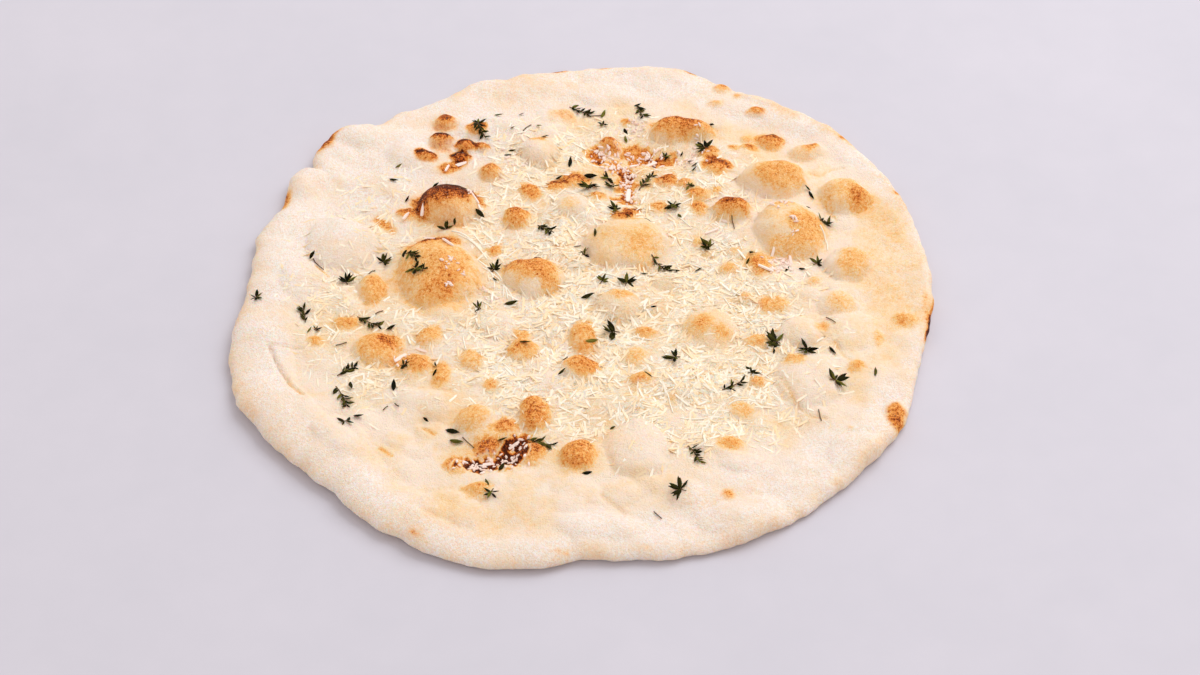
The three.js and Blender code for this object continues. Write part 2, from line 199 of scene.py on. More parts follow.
# Pits where the sheet is burnt dark: x, y, half width, half depth, how dark, turn.
PITS = [
    (5, 97, 5, 7, 0.72, 15), (27, 97, 10.5, 6.5, 0.64, -15), (38, 94, 8, 5, 0.66, 0),
    (16, 88, 10, 5.5, 0.63, -40), (20, 76, 6.5, 12, 0.66, 5), (19, 64, 7.5, 4.5, 0.64, 0),
    (-46, -106, 9.5, 5, 1.0, 5), (-33, -102, 9, 6, 1.0, 15), (-28, -94, 7, 6, 0.95, 30),
]

# Charred stretches of the very edge: where, half width (degrees), how dark, how far in.
EDGE_CHARS = [
    (-2.5, 2, 0.5, 1.3), (-7, 3.5, 1.0, 1.3), (156, 2.5, 0.6, 5), (140, 3.5, 0.62, 6.5),
    (94.5, 1.4, 0.55, 5), (86.5, 1.2, 0.45, 5), (71.5, 1.2, 0.7, 5),
]

# Where flour lies thickest away from the edge: x, y, half width, half depth, how thick.
FLOUR_SPOTS = [
    (24, -97, 18, 20, 0.35), (8, -141, 24, 12, 0.8), (-112, 100, 28, 22, 0.75),
    (112, -92, 22, 18, 0.5), (30, 146, 28, 14, 0.5), (-113, 33, 17, 18, 0.15),
]

# How brown the outer slope of the rim is painted: partly its real browning, partly painted shade
# where the edge turns down.
EDGE_TAN_AND_SHADE = 0.18

# How brown and how floury the underside is.
BASE_BROWN = 0.12
BASE_FLOUR = 0.6

# Where cheese lies: x, y, half width, half depth, how thick (0 to 1).
CHEESE_FIELDS = [
    (20, -20, 105, 95, 1.0), (10, 60, 95, 70, 0.8), (-82, 4, 62, 92, 0.58), (60, -60, 60, 45, 0.8),
]

# The cheese slides off blisters higher than the first and lies thin on those higher than the
# second; browning and burning take some of it away.
BARE_BLISTER = 6.4
THIN_BLISTER = 4.4
CHEESE_OFF_BROWN = 1.6
CHEESE_OFF_BURNT = 2

# Thyme: kind, x, y, length, heading in degrees. A star is a tuft of leaves, a sprig a stem with
# leaves in pairs, and a twig a bare bit of stem.
THYME = [
    ("star", -149, -6, 6, 20), ("leaf", -126, 23, 5, 60), ("twig", -123, 18, 8, -50),
    ("star", -110, 11, 8, 100), ("star", -92, 22, 7, 30), ("leaf", -83, 22, 7, 80),
    ("sprig", -80, 17, 8, -50), ("star", -77, 6, 7, -70), ("star", -73, 7, 5, 60),
    ("twig", -98, 14, 5, 60), ("sprig", -127, -16, 8, 100), ("leaf", -124, -25, 4, 60),
    ("star", -120, -24, 4, 20), ("twig", -93, -14, 4, 30), ("sprig", -98, -19, 11, -30),
    ("leaf", -87, -23, 5, 15), ("twig", -109, -34, 5, 15), ("sprig", -106, -51, 9, 40),
    ("star", -79, -49, 5, 0), ("leaf", -66, -53, 4, 60), ("leaf", -66, -47, 4, 100),
    ("leaf", -103, -60, 7, -80), ("sprig", -107, -66, 13, -65), ("star", -105, -84, 6, 200),
    ("leaf", -98, -80, 6, -20), ("leaf", -84, -60, 6, 90), ("twig", -87, -73, 3, 50),
    ("twig", -82, -72, 3, -50), ("leaf", -69, -80, 4, -50), ("leaf", -57, -87, 7, -20),
    ("leaf", -55, -92, 7, -15), ("twig", -50, -93, 8, -50), ("leaf", -35, -93, 5, 20),
    ("leaf", -35, -107, 5, 60), ("sprig", -19, -93, 11, -20), ("leaf", 2, -112, 5, 20),
    ("leaf", -41, -118, 5, 110), ("star", -39, -125, 6, -100), ("sprig", 48, -101, 11, -65),
    ("star", 40, -123, 9, 160), ("twig", 32, -135, 5, -50), ("leaf", 13, -84, 3, 30),
    ("leaf", -89, 86, 4, 20), ("leaf", -91, 76, 5, -20), ("leaf", -84, 63, 4, 60),
    ("leaf", -71, 75, 4, 40), ("star", -64, 42, 6, 60), ("leaf", -60, 46, 5, 70),
    ("leaf", -49, 50, 7, -50), ("star", -52, 118, 6, 90), ("sprig", -51, 113, 12, -60),
    ("leaf", -42, 124, 5, 10), ("leaf", -31, 125, 3, 10), ("twig", -28, 113, 6, 50),
    ("leaf", -22, 114, 4, -40), ("leaf", -35, 113, 3, 20), ("leaf", -19, 104, 4, 10),
    ("leaf", -35, 98, 4, 10), ("leaf", -37, 95, 4, 0), ("leaf", -7, 89, 7, 85),
    ("sprig", -3, 129, 10, -25), ("leaf", 9, 126, 6, 70), ("twig", 5, 125, 8, 0),
    ("leaf", 26, 132, 4, 15), ("sprig", 27, 127, 11, -75), ("leaf", 20, 113, 5, -70),
    ("leaf", 20, 107, 5, 100), ("star", 8, 117, 5, 200), ("leaf", 62, 114, 8, -80),
    ("star", 57, 100, 8, 130), ("star", 40, 97, 5, 0), ("leaf", 47, 97, 3, 60),
    ("leaf", 51, 90, 3, -40), ("leaf", 53, 87, 4, 30), ("leaf", 53, 84, 4, 30),
    ("sprig", 29, 76, 12, 60), ("star", 51, 71, 5, 0), ("star", 42, 58, 8, -110),
    ("leaf", 45, 51, 5, -70), ("leaf", 3, 80, 7, -15), ("star", 10, 79, 6, 190),
    ("star", 13, 73, 6, 250), ("star", 2, 71, 9, 250), ("leaf", -12, 79, 4, 10),
    ("star", 14, 55, 7, 200), ("leaf", 21, 50, 4, -60), ("leaf", 30, 47, 4, -30),
    ("sprig", -18, 42, 10, -40), ("leaf", 5, 35, 6, 90), ("twig", -3, 31, 3, 20),
    ("star", -1, 25, 6, 200), ("leaf", -21, 21, 7, -50), ("leaf", -33, 21, 3, 30),
    ("star", -41, 18, 7, 60), ("leaf", -41, 9, 4, -60), ("leaf", -33, -8, 7, 15),
    ("star", -49, -11, 5, 170), ("sprig", 36, 18, 12, -40), ("leaf", 28, 11, 4, 0),
    ("leaf", 53, 16, 4, 30), ("star", 9, 7, 6, 60), ("star", 20, 6, 7, 80), ("leaf", 2, -3, 7, 10),
    ("star", 12, -26, 9, 200), ("leaf", 4, -33, 7, 25), ("twig", -9, -42, 5, 40),
    ("leaf", -9, -53, 5, 20), ("leaf", -26, -36, 6, -15), ("star", 40, -43, 7, 200),
    ("leaf", 29, -54, 5, -40), ("star", 57, 32, 9, 200), ("twig", 70, 46, 6, 100),
    ("leaf", 78, 24, 4, -50), ("leaf", 76, 19, 4, 60), ("leaf", 108, 66, 6, -70),
    ("leaf", 106, 70, 4, 150), ("leaf", 106, 54, 3, 0), ("sprig", 113, 46, 6, 40),
    ("star", 109, 20, 6, 30), ("leaf", 94, 15, 4, 60), ("leaf", 101, 15, 4, -30),
    ("star", 85, -32, 9, 150), ("leaf", 86, -35, 6, -20), ("star", 100, -40, 9, 250),
    ("leaf", 112, -38, 6, -60), ("twig", 112, -20, 6, -50), ("star", 76, -51, 6, 30),
    ("sprig", 66, -60, 10, 30), ("star", 113, -58, 8, 30), ("leaf", 130, -52, 6, 85),
    ("twig", 104, -78, 6, -80), ("leaf", 32, -11, 3, 0),
]

# Clumps of loose white cheese: x, y, half width, half depth, how many pieces.
CHEESE_CLUMPS = [
    (10, 96, 6, 4, 36), (16, 88, 8, 4, 46), (20, 78, 3, 7, 30), (21, 68, 3, 6, 22),
    (30, 96, 9, 5, 40), (-46, -106, 8, 3, 30), (-33, -102, 8, 5, 36), (-28, -94, 4, 4, 16),
    (89, 17, 5, 6, 28), (93, 21, 3, 3, 14), (-60, 8, 8, 8, 16), (-82, -43, 4, 4, 10),
    (54, 106, 3, 2, 6), (-54, 60, 2, 4, 6), (98, 33, 2, 2, 4), (92, 52, 5, 3, 10),
    (98, 39, 2, 2, 5), (-35, 95, 7, 11, 22), (24, 113, 5, 7, 20), (50, 92, 9, 7, 26),
    (-45, -5, 12, 10, 20),
]

# Coarse flat shreds lying loose: x, y, length, width, heading in degrees.
COARSE_SHREDS = [
    (-76, 52, 7, 1.7, 80), (-52, 59, 8, 1.4, -50), (-50, 56, 7, 1.2, -65), (-72, 31, 6, 1.8, 20),
    (-63, 27, 7, 2.2, -40), (-84, 50, 6, 1.6, 65), (-60, 90, 7, 2, 25), (-66, 86, 5, 1.2, 70),
    (21, 69, 10, 2.4, 85), (31, 92, 9, 1.8, 25), (24, 90, 6, 1.4, 35), (-82, -42, 8, 2, 50),
    (-73, -36, 6, 1.3, -30), (88, 26, 7, 1.4, 70), (84, 13, 8, 1.5, -20), (96, 20, 7, 1.6, 100),
    (-30, -94, 6, 1.4, 40), (-41, -104, 5, 1.6, 10), (66, 49, 6, 1.2, -30), (60, 42, 7, 1.3, 25),
]

# Long thin shreds that sweep over the sheet: x, y, length, heading in degrees.
LONG_SHREDS = [
    (-43, 10, 30, -66), (-41, 7, 26, -62), (-45, 13, 22, -70), (-38, 2, 20, -55),
    (-55, 34, 16, -32), (-50, 30, 14, -48), (70, -70, 12, 10), (112, 35, 12, -75),
]

# How many more long shreds and how many flat strips lie anywhere in the cheese.
STRAIGHT_SHREDS = 36
LOOSE_STRIPS = 900

# Fine shreds: how many to a square metre of the thickest cheese, and their size in metres.
CHEESE_DENSITY = 300000.0
SHRED_LENGTH = (0.002, 0.0065)
SHRED_THICKNESS = 0.0008

# The other cheese, in millimetres again.
LONG_SHRED_RADIUS = 0.35
LOOSE_SHRED_RADIUS = 0.3
LOOSE_SHRED_LENGTH = (6, 12)
COARSE_THICKNESS = 0.9
STRIP_LENGTH = (2.5, 8.5)
STRIP_WIDTH = (0.7, 1.25)
STRIP_THICKNESS = 0.4
CRUMB_SIZE = (0.8, 1.7)

# Thyme leaves: how wide for their length, how long in a tuft for its size, how long on a sprig.
LEAF_WIDTH = (0.27, 0.37)
TUFT_LEAF = (0.5, 0.8)
SPRIG_LEAF = (2.6, 4.8)

# How far a leaf rises from its foot (radians), how far round a tuft spreads (degrees), what
# share of its leaves a sprig still has, and how thick the stalks are.
LEAF_RISE = 0.15
TUFT_SPREAD = 210
SPRIG_FULLNESS = 0.7
STALK_RADIUS = 0.25
TUFT_STALK_RADIUS = 0.22

# Random relief in layers: how strong, how large, and the seed.
EDGE_RAGGED = [(0.7, 9, 11), (0.35, 4, 12)]
WARP_X = [(1.6, 14, 21), (0.7, 5, 22)]
WARP_Y = [(1.6, 14, 23), (0.7, 5, 24)]
BROWN_RAGGED = [(0.16, 5, 25), (0.1, 2.4, 26)]
BURNT_RAGGED = [(0.45, 4.5, 27), (0.35, 2.2, 28)]
CHEESE_PATCHES = [(0.5, 22, 31), (0.35, 9, 32)]
DOUGH_LUMPS = [(0.6, 21, 40), (0.45, 11, 41), (0.16, 5, 42)]
CHEESE_LUMPS = [(0.4, 4.2, 43), (0.25, 2.2, 44)]
BROWN_WRINKLES = [(0.22, 2.6, 45)]
FLOUR_RAGGED = [(0.3, 16, 61)]
FLOUR_PATCHES = [(0.5, 17, 62), (0.3, 6, 63)]
# The patches of the rim's painted tan, which is partly painted shade.
TAN_AND_SHADE_PATCHES = [(0.7, 9, 64)]

# How wide a plan the noise has to cover before it repeats, and about how far the edge is.
NOISE_SPAN = 400
EDGE_RADIUS = 160

# How finely the skin is meshed.
TOP_RINGS = 158
NOSE_STEPS = 6
TUCK_STEPS = 3
BASE_RINGS = 40

FULL_TURN = 2 * math.pi


def around(values, angle):
    """The value at each angle, from values given around the bread at even steps."""
    count = len(values)
    known = np.array(values, dtype=float)
    place = (angle / FULL_TURN % 1.0) * count
    step = np.floor(place).astype(int)
    t = place - step
    before, start, end, after = (known[(step + k) % count] for k in (-1, 0, 1, 2))
    slope_in = (end - before) / 2
    slope_out = (after - start) / 2
    bend = 3 * (end - start) - 2 * slope_in - slope_out
    twist = 2 * (start - end) + slope_in + slope_out
    return start + t * (slope_in + t * (bend + t * twist))


def smooth_step(low, high, value):
    """A smooth ramp from 0 at low to 1 at high, which may be the smaller of the two."""
    t = np.clip((value - low) / (high - low), 0, 1)
    return t * t * (3 - 2 * t)


def soft_max(low, high, softness):
    """The larger of two heights, rounded where they cross."""
    mix = np.clip(0.5 + (high - low) / (2 * softness), 0, 1)
    return low + (high - low) * mix + softness * mix * (1 - mix)


@functools.cache
def noise_slopes(cells, seed):
    """A square of random directions, for noise."""
    turns = np.random.default_rng(seed).uniform(0, FULL_TURN, (cells, cells))
    return np.cos(turns), np.sin(turns)


def noise(x, y, size, seed):
    """Smooth random relief with bumps about one size across, from -1 to 1."""
    cells = int(NOISE_SPAN / size) + 4
    slopes_x, slopes_y = noise_slopes(cells, seed)
    u = x / size + cells / 2
    v = y / size + cells / 2
    i = np.floor(u).astype(int)
    j = np.floor(v).astype(int)
    fu = u - i
    fv = v - j

    def corner(di, dj):
        at = (i + di) % cells, (j + dj) % cells
        return slopes_x[at] * (fu - di) + slopes_y[at] * (fv - dj)

    wu = fu ** 3 * (fu * (fu * 6 - 15) + 10)
    wv = fv ** 3 * (fv * (fv * 6 - 15) + 10)
    low = corner(0, 0) * (1 - wu) + corner(1, 0) * wu
    high = corner(0, 1) * (1 - wu) + corner(1, 1) * wu
    return 1.5 * (low * (1 - wv) + high * wv)


def layered(x, y, layers, start=0.0):
    """Noise of several sizes, added one by one to what it starts from."""
    return sum((strong * noise(x, y, size, seed) for strong, size, seed in layers), start)


def direction(heading):
    """How far along X and Y a step of 1 goes at a heading in degrees."""
    return math.cos(math.radians(heading)), math.sin(math.radians(heading))


def foot_share(x, y, spot, turn=0.0):
    """How far out in a spot a point lies, 0 at its middle and 1 at its foot. A spot is given
    by its own x, y, half width and half depth, as the tables begin their rows."""
    spot_x, spot_y, wide, deep = spot
    c, s = direction(turn)
    across = (x - spot_x) * c + (y - spot_y) * s
    along = (y - spot_y) * c - (x - spot_x) * s
    return np.hypot(across / wide, along / deep)


def to_back(y, spot):
    """Where a point lies from a spot's front, -1, to its back, 1."""
    return (y - spot[1]) / spot[3]


def off_direction(angle, at, wide):
    """How many half widths each angle lies from a direction, both given in degrees."""
    return np.sin((angle - math.radians(at)) / 2) * 2 / math.radians(wide)


def edge_reach(angle):
    """How far the bread reaches from its middle, with the small raggedness of torn dough."""
    reach = around(RIM_REACH, angle)
    for at, wide, out in EDGE_LOBES:
        reach = reach + out * np.exp(-off_direction(angle, at, wide) ** 2)
    return layered(EDGE_RADIUS * np.cos(angle), EDGE_RADIUS * np.sin(angle), EDGE_RAGGED, reach)


def rim_height(angle, inset):
    """How high the rim stands over the sheet at points that far in from the edge."""
    share = inset / around(RIM_WIDTH, angle)
    down = np.clip((share - RIM_CREST) / (1 - RIM_CREST), 0, 1)
    soft = np.cos(down * math.pi / 2) ** 2
    rolled = np.sqrt(1 - down * down)
    fold = np.clip(around(RIM_FOLD, angle), 0, 1)
    return around(RIM_RISE, angle) * (soft + (rolled - soft) * fold)


def swell(x, y):
    """The low swells of the sheet."""
    height = 0
    for rise, length, heading, phase in SWELLS:
        ahead_x, ahead_y = direction(heading)
        along = x * ahead_x + y * ahead_y
        height = height + rise * np.sin(along * FULL_TURN / length + phase)
    return height


def warped(x, y):
    """The plan pulled about a little, so that no blister is a true ellipse."""
    return layered(x, y, WARP_X, x), layered(x, y, WARP_Y, y)


def line_distance(x, y, line):
    """How far each point lies from a line drawn through a few points."""
    nearest = np.full(np.shape(x), np.inf)
    for (from_x, from_y), (to_x, to_y) in zip(line, line[1:]):
        run_x = to_x - from_x
        run_y = to_y - from_y
        along = ((x - from_x) * run_x + (y - from_y) * run_y) / (run_x * run_x + run_y * run_y)
        along = np.clip(along, 0, 1)
        off = np.hypot(x - from_x - along * run_x, y - from_y - along * run_y)
        nearest = np.minimum(nearest, off)
    return nearest


def in_crease(x, y, wide, line):
    """How deep in a crease each point lies: 1 on its line, fading out past its half width."""
    return np.exp(-(line_distance(x, y, line) / wide) ** 2)


def cheese_cover(x, y):
    """How thickly the grated cheese lies at each point, from 0 to 1."""
    cover = 0
    for *spot, thick in CHEESE_FIELDS:
        cover = np.maximum(cover, thick * smooth_step(1.05, 0.55, foot_share(x, y, spot)))
    patchy = layered(x, y, CHEESE_PATCHES, 0.62)
    for *spot, high, turn in BLISTERS:
        if high > BARE_BLISTER:
            patchy = patchy * smooth_step(0.95, 1.25, foot_share(x, y, spot, turn))
        elif high > THIN_BLISTER:
            thin = smooth_step(0.7, 1.15, foot_share(x, y, spot, turn))
            patchy = patchy * (0.3 + 0.7 * thin)
    bare = CHEESE_OFF_BROWN * browning(x, y)
    burnt = CHEESE_OFF_BURNT * burning(x, y)
    return np.clip(cover * patchy - bare - burnt, 0, 1)


def browning(x, y):
    """How brown the crust is at each point, from 0 to about 1: baked brown, with the painted shade
    of the creases counted in.
    """
    wx, wy = warped(x, y)
    ragged = layered(x, y, BROWN_RAGGED)
    pale = 1
    for *spot, brown, turn in BROWNINGS:
        share = foot_share(wx, wy, spot, turn) + ragged
        level = sum(strong * smooth_step(low, high, share) for strong, low, high in BROWN_FADE)
        pale = pale * (1 - brown * level)
    for *spot, high, brown in SMALL_BLISTERS:
        share = foot_share(wx, wy, spot) + 0.6 * ragged
        body = min(brown, CAP_BROWN + 0.3 * (brown - CAP_BROWN))
        body = body * smooth_step(1.45, 0.1 + 0.13 * high, share)
        back = smooth_step(-0.4, 0.5, to_back(wy, spot))
        arc = smooth_step(-0.2, 0.45, share) * smooth_step(1.35, 1.0, share) * back
        dark = max(0, brown - CAP_BROWN) / (1 - CAP_BROWN)
        pale = pale * (1 - body) * (1 - 0.92 * dark * arc)
    # Creases are painted browner: partly real browning, partly painted shade in the fold.
    for _, wide, brown, line in CREASES:
        pale = pale * (1 - brown * in_crease(x, y, wide, line))
    return 1 - pale


def burning(x, y):
    """How burnt the pits are at each point, from 0 to 1, with ragged edges."""
    ragged = layered(x, y, BURNT_RAGGED)
    left = 1
    for *spot, dark, turn in PITS:
        share = foot_share(x, y, spot, turn) + ragged
        left = left * (1 - dark * smooth_step(1.15, 0.6, share))
    return 1 - left


def edge_char(angle, inset):
    """How dark the very edge is charred at each point."""
    dark = 0
    for at, wide, level, reach in EDGE_CHARS:
        level = level * smooth_step(reach, 0.3 * reach, inset)
        dark = np.maximum(dark, level * np.exp(-off_direction(angle, at, wide) ** 4))
    return dark


def top_height(x, y, angle, inset):
    """The height of the top at points inside the rounded edge."""
    base = SHEET_THICKNESS + rim_height(angle, inset) + swell(x, y) - BURNT_SINK * burning(x, y)
    wx, wy = warped(x, y)
    for *spot, depth, turn in HOLLOWS:
        base = base - depth * np.exp(-2 * foot_share(wx, wy, spot, turn) ** 2)
    for depth, wide, _, line in CREASES:
        base = base - depth * in_crease(x, y, wide, line)
    height = base
    for *spot, high, turn in BLISTERS + grown_blisters():
        share = foot_share(wx, wy, spot, turn)
        cap = np.clip(1 - share * share, 0, 1) ** BLISTER_FULLNESS
        sink = min(BLISTER_SINK, 0.4 * high)
        dome = base - sink + (high + sink) * cap
        back = smooth_step(-0.6, 0.6, to_back(wy, spot))
        crease = min(BLISTER_CREASE, 0.5 * high) * (1.5 - back)
        height = np.where(share < 1, soft_max(height, dome, crease), height)
    return height + fine_relief(x, y)


def fine_relief(x, y):
    """The small lumps of baked dough and half-melted cheese."""
    near_rim = smooth_step(100, 150, np.hypot(x, y))
    on_brown = smooth_step(0.1, 0.4, browning(x, y))
    dough = layered(x, y, DOUGH_LUMPS)
    dough = dough + 0.5 * near_rim * noise(x, y, 8, 46)
    dough = dough + 0.45 * on_brown * noise(x, y, 6.5, 47)
    lumps = layered(x, y, CHEESE_LUMPS) * cheese_cover(x, y)
    return dough + lumps + layered(x, y, BROWN_WRINKLES) * browning(x, y)


@functools.cache
def pale_bubbles():
    """Low pale bubbles all over, between the browned ones: as the table of small blisters."""
    random = np.random.default_rng(71)
    bubbles = []
    while len(bubbles) < PALE_BUBBLES:
        x, y = random.uniform(-145, 145, 2)
        size = random.uniform(*BUBBLE_SIZE)
        if math.hypot(x, y) < BUBBLE_REACH - size:
            bubbles.append((x, y, size, size * random.uniform(0.7, 1.0),
                            size * random.uniform(0.12, 0.26), 0.0))
    return bubbles


def grown_blisters():
    """The small blisters and bubbles at their full width, as the table of large blisters."""
    return [(x, y, wide * SMALL_BLISTER_GROWTH, deep * SMALL_BLISTER_GROWTH, high, 0)
            for x, y, wide, deep, high, _ in SMALL_BLISTERS + pale_bubbles()]


def inward(angle, inset):
    """The points that lie so far in from the edge."""
    radius = edge_reach(angle) - inset
    return radius * np.cos(angle), radius * np.sin(angle)


def ring_angles(count):
    return FULL_TURN * np.arange(count) / count


def top_ring(share, count):
    """One ring of the top, at a share of the way from the middle to the shoulder."""
    angle = ring_angles(count)
    reach = edge_reach(angle)
    inset = reach - share * (reach - around(NOSE_DEPTH, angle))
    x, y = inward(angle, inset)
    return np.column_stack([x, y, top_height(x, y, angle, inset)])


def edge_ring(tilt, count):
    """One ring of the rounded edge: tilt is 90 degrees at the shoulder, 0 at the widest level."""
    angle = ring_angles(count)
    nose = around(NOSE_DEPTH, angle)
    shoulder = top_height(*inward(angle, nose), angle, nose)
    widest = NOSE_HEIGHT * shoulder
    depth = nose * (UNDER_TUCK if tilt < 0 else 1)
    span = widest if tilt < 0 else shoulder - widest
    x, y = inward(angle, depth * (1 - math.cos(tilt)))
    return np.column_stack([x, y, widest + span * math.sin(tilt)])


def base_ring(share, count):
    """One ring of the underside: a little uneven, and never below the table."""
    angle = ring_angles(count)
    x, y = inward(angle, around(NOSE_DEPTH, angle) * UNDER_TUCK)
    x, y = x * share, y * share
    lift = 0.35 * smooth_step(0.1, 0.8, noise(x, y, 13, 51)) + 0.1 * noise(x, y, 4, 52) ** 2
    return np.column_stack([x, y, lift * smooth_step(1.0, 0.96, np.full(count, share))])


def bread_rings():
    """Every ring of the skin in order: over the top from its middle, round the edge and under."""
    edge_count = 6 * TOP_RINGS
    rings = [top_ring(0.0, 1)]
    rings += [top_ring(ring / TOP_RINGS, 6 * ring) for ring in range(1, TOP_RINGS + 1)]
    rings += [edge_ring(math.pi / 2 * (1 - k / NOSE_STEPS), edge_count)
              for k in range(1, NOSE_STEPS + 1)]
    rings += [edge_ring(-math.pi / 2 * k / TUCK_STEPS, edge_count)
              for k in range(1, TUCK_STEPS + 1)]
    rings += [base_ring(ring / BASE_RINGS, 6 * ring) for ring in range(BASE_RINGS - 1, 0, -1)]
    rings += [base_ring(0.0, 1)]
    return rings


def stitch(inner, outer):
    """Triangles between one ring of vertices and the next, whatever their two counts are."""
    triangles = []
    inner_steps = 0 if len(inner) == 1 else len(inner)
    outer_steps = 0 if len(outer) == 1 else len(outer)
    i = o = 0
    while i < inner_steps or o < outer_steps:
        outer_next = (o + 1) * len(inner) <= (i + 1) * len(outer)
        if i >= inner_steps or (o < outer_steps and outer_next):
            triangles.append((inner[i % len(inner)], outer[o], outer[(o + 1) % len(outer)]))
            o += 1
        else:
            triangles.append((inner[i], outer[o % len(outer)], inner[(i + 1) % len(inner)]))
            i += 1
    return triangles


def closed_skin(rings):
    """The points and faces of a closed form given as rings from one end to the other."""
    points = [point for ring in rings for point in ring]
    faces = []
    start = 0
    for near, far in zip(rings, rings[1:]):
        middle = start + len(near)
        faces += stitch(range(start, middle), range(middle, middle + len(far)))
        start = middle
    return points, faces


def plan_shift():
    """What moves the plan so that the bread's box sits over the origin, as the frame has it."""
    angle = ring_angles(720)
    x, y = inward(angle, 0)
    low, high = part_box("focaccia")
    own = np.array([x.min() + x.max(), y.min() + y.max()]) / 2
    return (low[0] + high[0]) / 2 / MM - own[0], (low[1] + high[1]) / 2 / MM - own[1]


SHIFT_X, SHIFT_Y = plan_shift()


def placed(points):
    """Points in metres in the shared frame, from points in plan millimetres."""
    return ((np.asarray(points) + [SHIFT_X, SHIFT_Y, 0]) * MM).tolist()


def new_object(name, data):
    """An object in the scene that shows the given data."""
    piece = bpy.data.objects.new(name, data)
    bpy.context.scene.collection.objects.link(piece)
    return piece


def new_mesh(name, points, faces):
    mesh = bpy.data.meshes.new(name)
    mesh.from_pydata(points, [], faces)
    return mesh


def new_piece(name, points, faces):
    """A smooth mesh object at the origin from points in plan millimetres."""
    mesh = new_mesh(name, placed(points), faces)
    mesh.polygons.foreach_set("use_smooth", [True] * len(mesh.polygons))
    mesh.update()
    return new_object(name, mesh)


def paint(piece, name, values):
    """A number at each vertex, for the materials and node trees to read."""
    layer = piece.data.attributes.new(name, "FLOAT", "POINT")
    layer.data.foreach_set("value", np.asarray(values, dtype=np.float32))


def surface_height(x, y):
    """The height of the bread's top at any points, for what lies on it."""
    angle = np.arctan2(y, x)
    inset = edge_reach(angle) - np.hypot(x, y)
    nose = around(NOSE_DEPTH, angle)
    inside = top_height(x, y, angle, np.maximum(inset, nose))
    widest = NOSE_HEIGHT * inside
    rise = np.sqrt(1 - np.clip(1 - inset / nose, 0, 1) ** 2)
    return widest + (inside - widest) * rise


def flour_cover(x, y, angle, inset):
    """How thickly flour lies at each point of the top, from 0 to 1."""
    share = layered(x, y, FLOUR_RAGGED, inset / around(FLOUR_WIDTH, angle))
    flour = smooth_step(1.2, 0.35 + 0.5 * around(RIM_FOLD, angle), share)
    flour = flour * np.clip(layered(x, y, FLOUR_PATCHES, 0.84), 0, 1)
    for *spot, thick in FLOUR_SPOTS:
        flour = 1 - (1 - flour) * (1 - thick * smooth_step(1.1, 0.3, foot_share(x, y, spot)))
    return flour


def make_bread():
    """The whole skin of the bread, and how each of its vertices is baked and covered."""
    rings = bread_rings()
    piece = new_piece("crust", *closed_skin(rings))

    x, y, _ = np.vstack(rings).T
    angle = np.arctan2(y, x)
    inset = edge_reach(angle) - np.hypot(x, y)
    top_rings = rings[:-TUCK_STEPS - BASE_RINGS]
    is_top = np.arange(len(x)) < sum(len(ring) for ring in top_rings)
    # The outer slope of the rim is painted browner: partly real browning, partly painted shade
    # where the edge turns down.
    tanned_and_shaded = EDGE_TAN_AND_SHADE * smooth_step(9, 1, inset) * np.clip(layered(x, y, TAN_AND_SHADE_PATCHES, 0.7), 0, 1)
    charred = 1 - (1 - tanned_and_shaded) * (1 - edge_char(angle, inset))
    brown = 1 - (1 - browning(x, y)) * (1 - charred)
    paint(piece, "brown", np.where(is_top, brown, BASE_BROWN))
    paint(piece, "burnt", np.where(is_top, burning(x, y), 0))
    paint(piece, "flour", np.where(is_top, flour_cover(x, y, angle, inset), BASE_FLOUR))
    paint(piece, "cheese", np.where(is_top, cheese_cover(x, y), 0))
    return piece


# ---------------------------------------------------------------- node helpers

def set_inputs(tree, node, inputs):
    """Sets inputs of a node by name or place, or links them where the value is a socket."""
    for name, value in inputs.items():
        if isinstance(value, bpy.types.NodeSocket):
            tree.links.new(value, node.inputs[name])
        else:
            node.inputs[name].default_value = value


def add(tree, kind, inputs=None, **settings):
    """A new node with its settings and its inputs."""
    node = tree.nodes.new(kind)
    for name, value in settings.items():
        setattr(node, name, value)
    set_inputs(tree, node, inputs or {})
    return node


def math_node(tree, operation, first, second, clamp=False):
    return add(tree, "ShaderNodeMath", {0: first, 1: second},
               operation=operation, use_clamp=clamp).outputs[0]


def multiply(tree, first, second, clamp=False):
    return math_node(tree, "MULTIPLY", first, second, clamp)


def add_up(tree, first, second, clamp=False):
    return math_node(tree, "ADD", first, second, clamp)


def subtract(tree, first, second, clamp=False):
    return math_node(tree, "SUBTRACT", first, second, clamp)


def vector_node(tree, operation, first, second):
    return add(tree, "ShaderNodeVectorMath", {0: first, 1: second}, operation=operation).outputs[0]


def specks(tree, vector, scale, detail, roughness=0.5):
    """Smooth random specks, from 0 to 1."""
    return add(tree, "ShaderNodeTexNoise",
               {"Vector": vector, "Scale": scale, "Detail": detail,
                "Roughness": roughness}).outputs["Fac"]


def above(tree, value, low, high, top=1.0):
    """0 where a value is at most low, up to top where it is at least high."""
    return add(tree, "ShaderNodeMapRange", {"Value": value, "From Min": low, "From Max": high,
                                            "To Max": top}).outputs["Result"]


def mix_colours(tree, factor, first, second):
    """A blend of two colours, each a socket or a tuple of everyday 0 to 255 values."""
    first, second = (linear(*colour) if isinstance(colour, tuple) else colour
                     for colour in (first, second))
    return add(tree, "ShaderNodeMix", {"Factor": factor, "A": first, "B": second},
               data_type="RGBA").outputs["Result"]


def vertex_value(tree, name):
    """What is painted on the vertices under a name."""
    return add(tree, "ShaderNodeAttribute", attribute_name=name).outputs["Fac"]


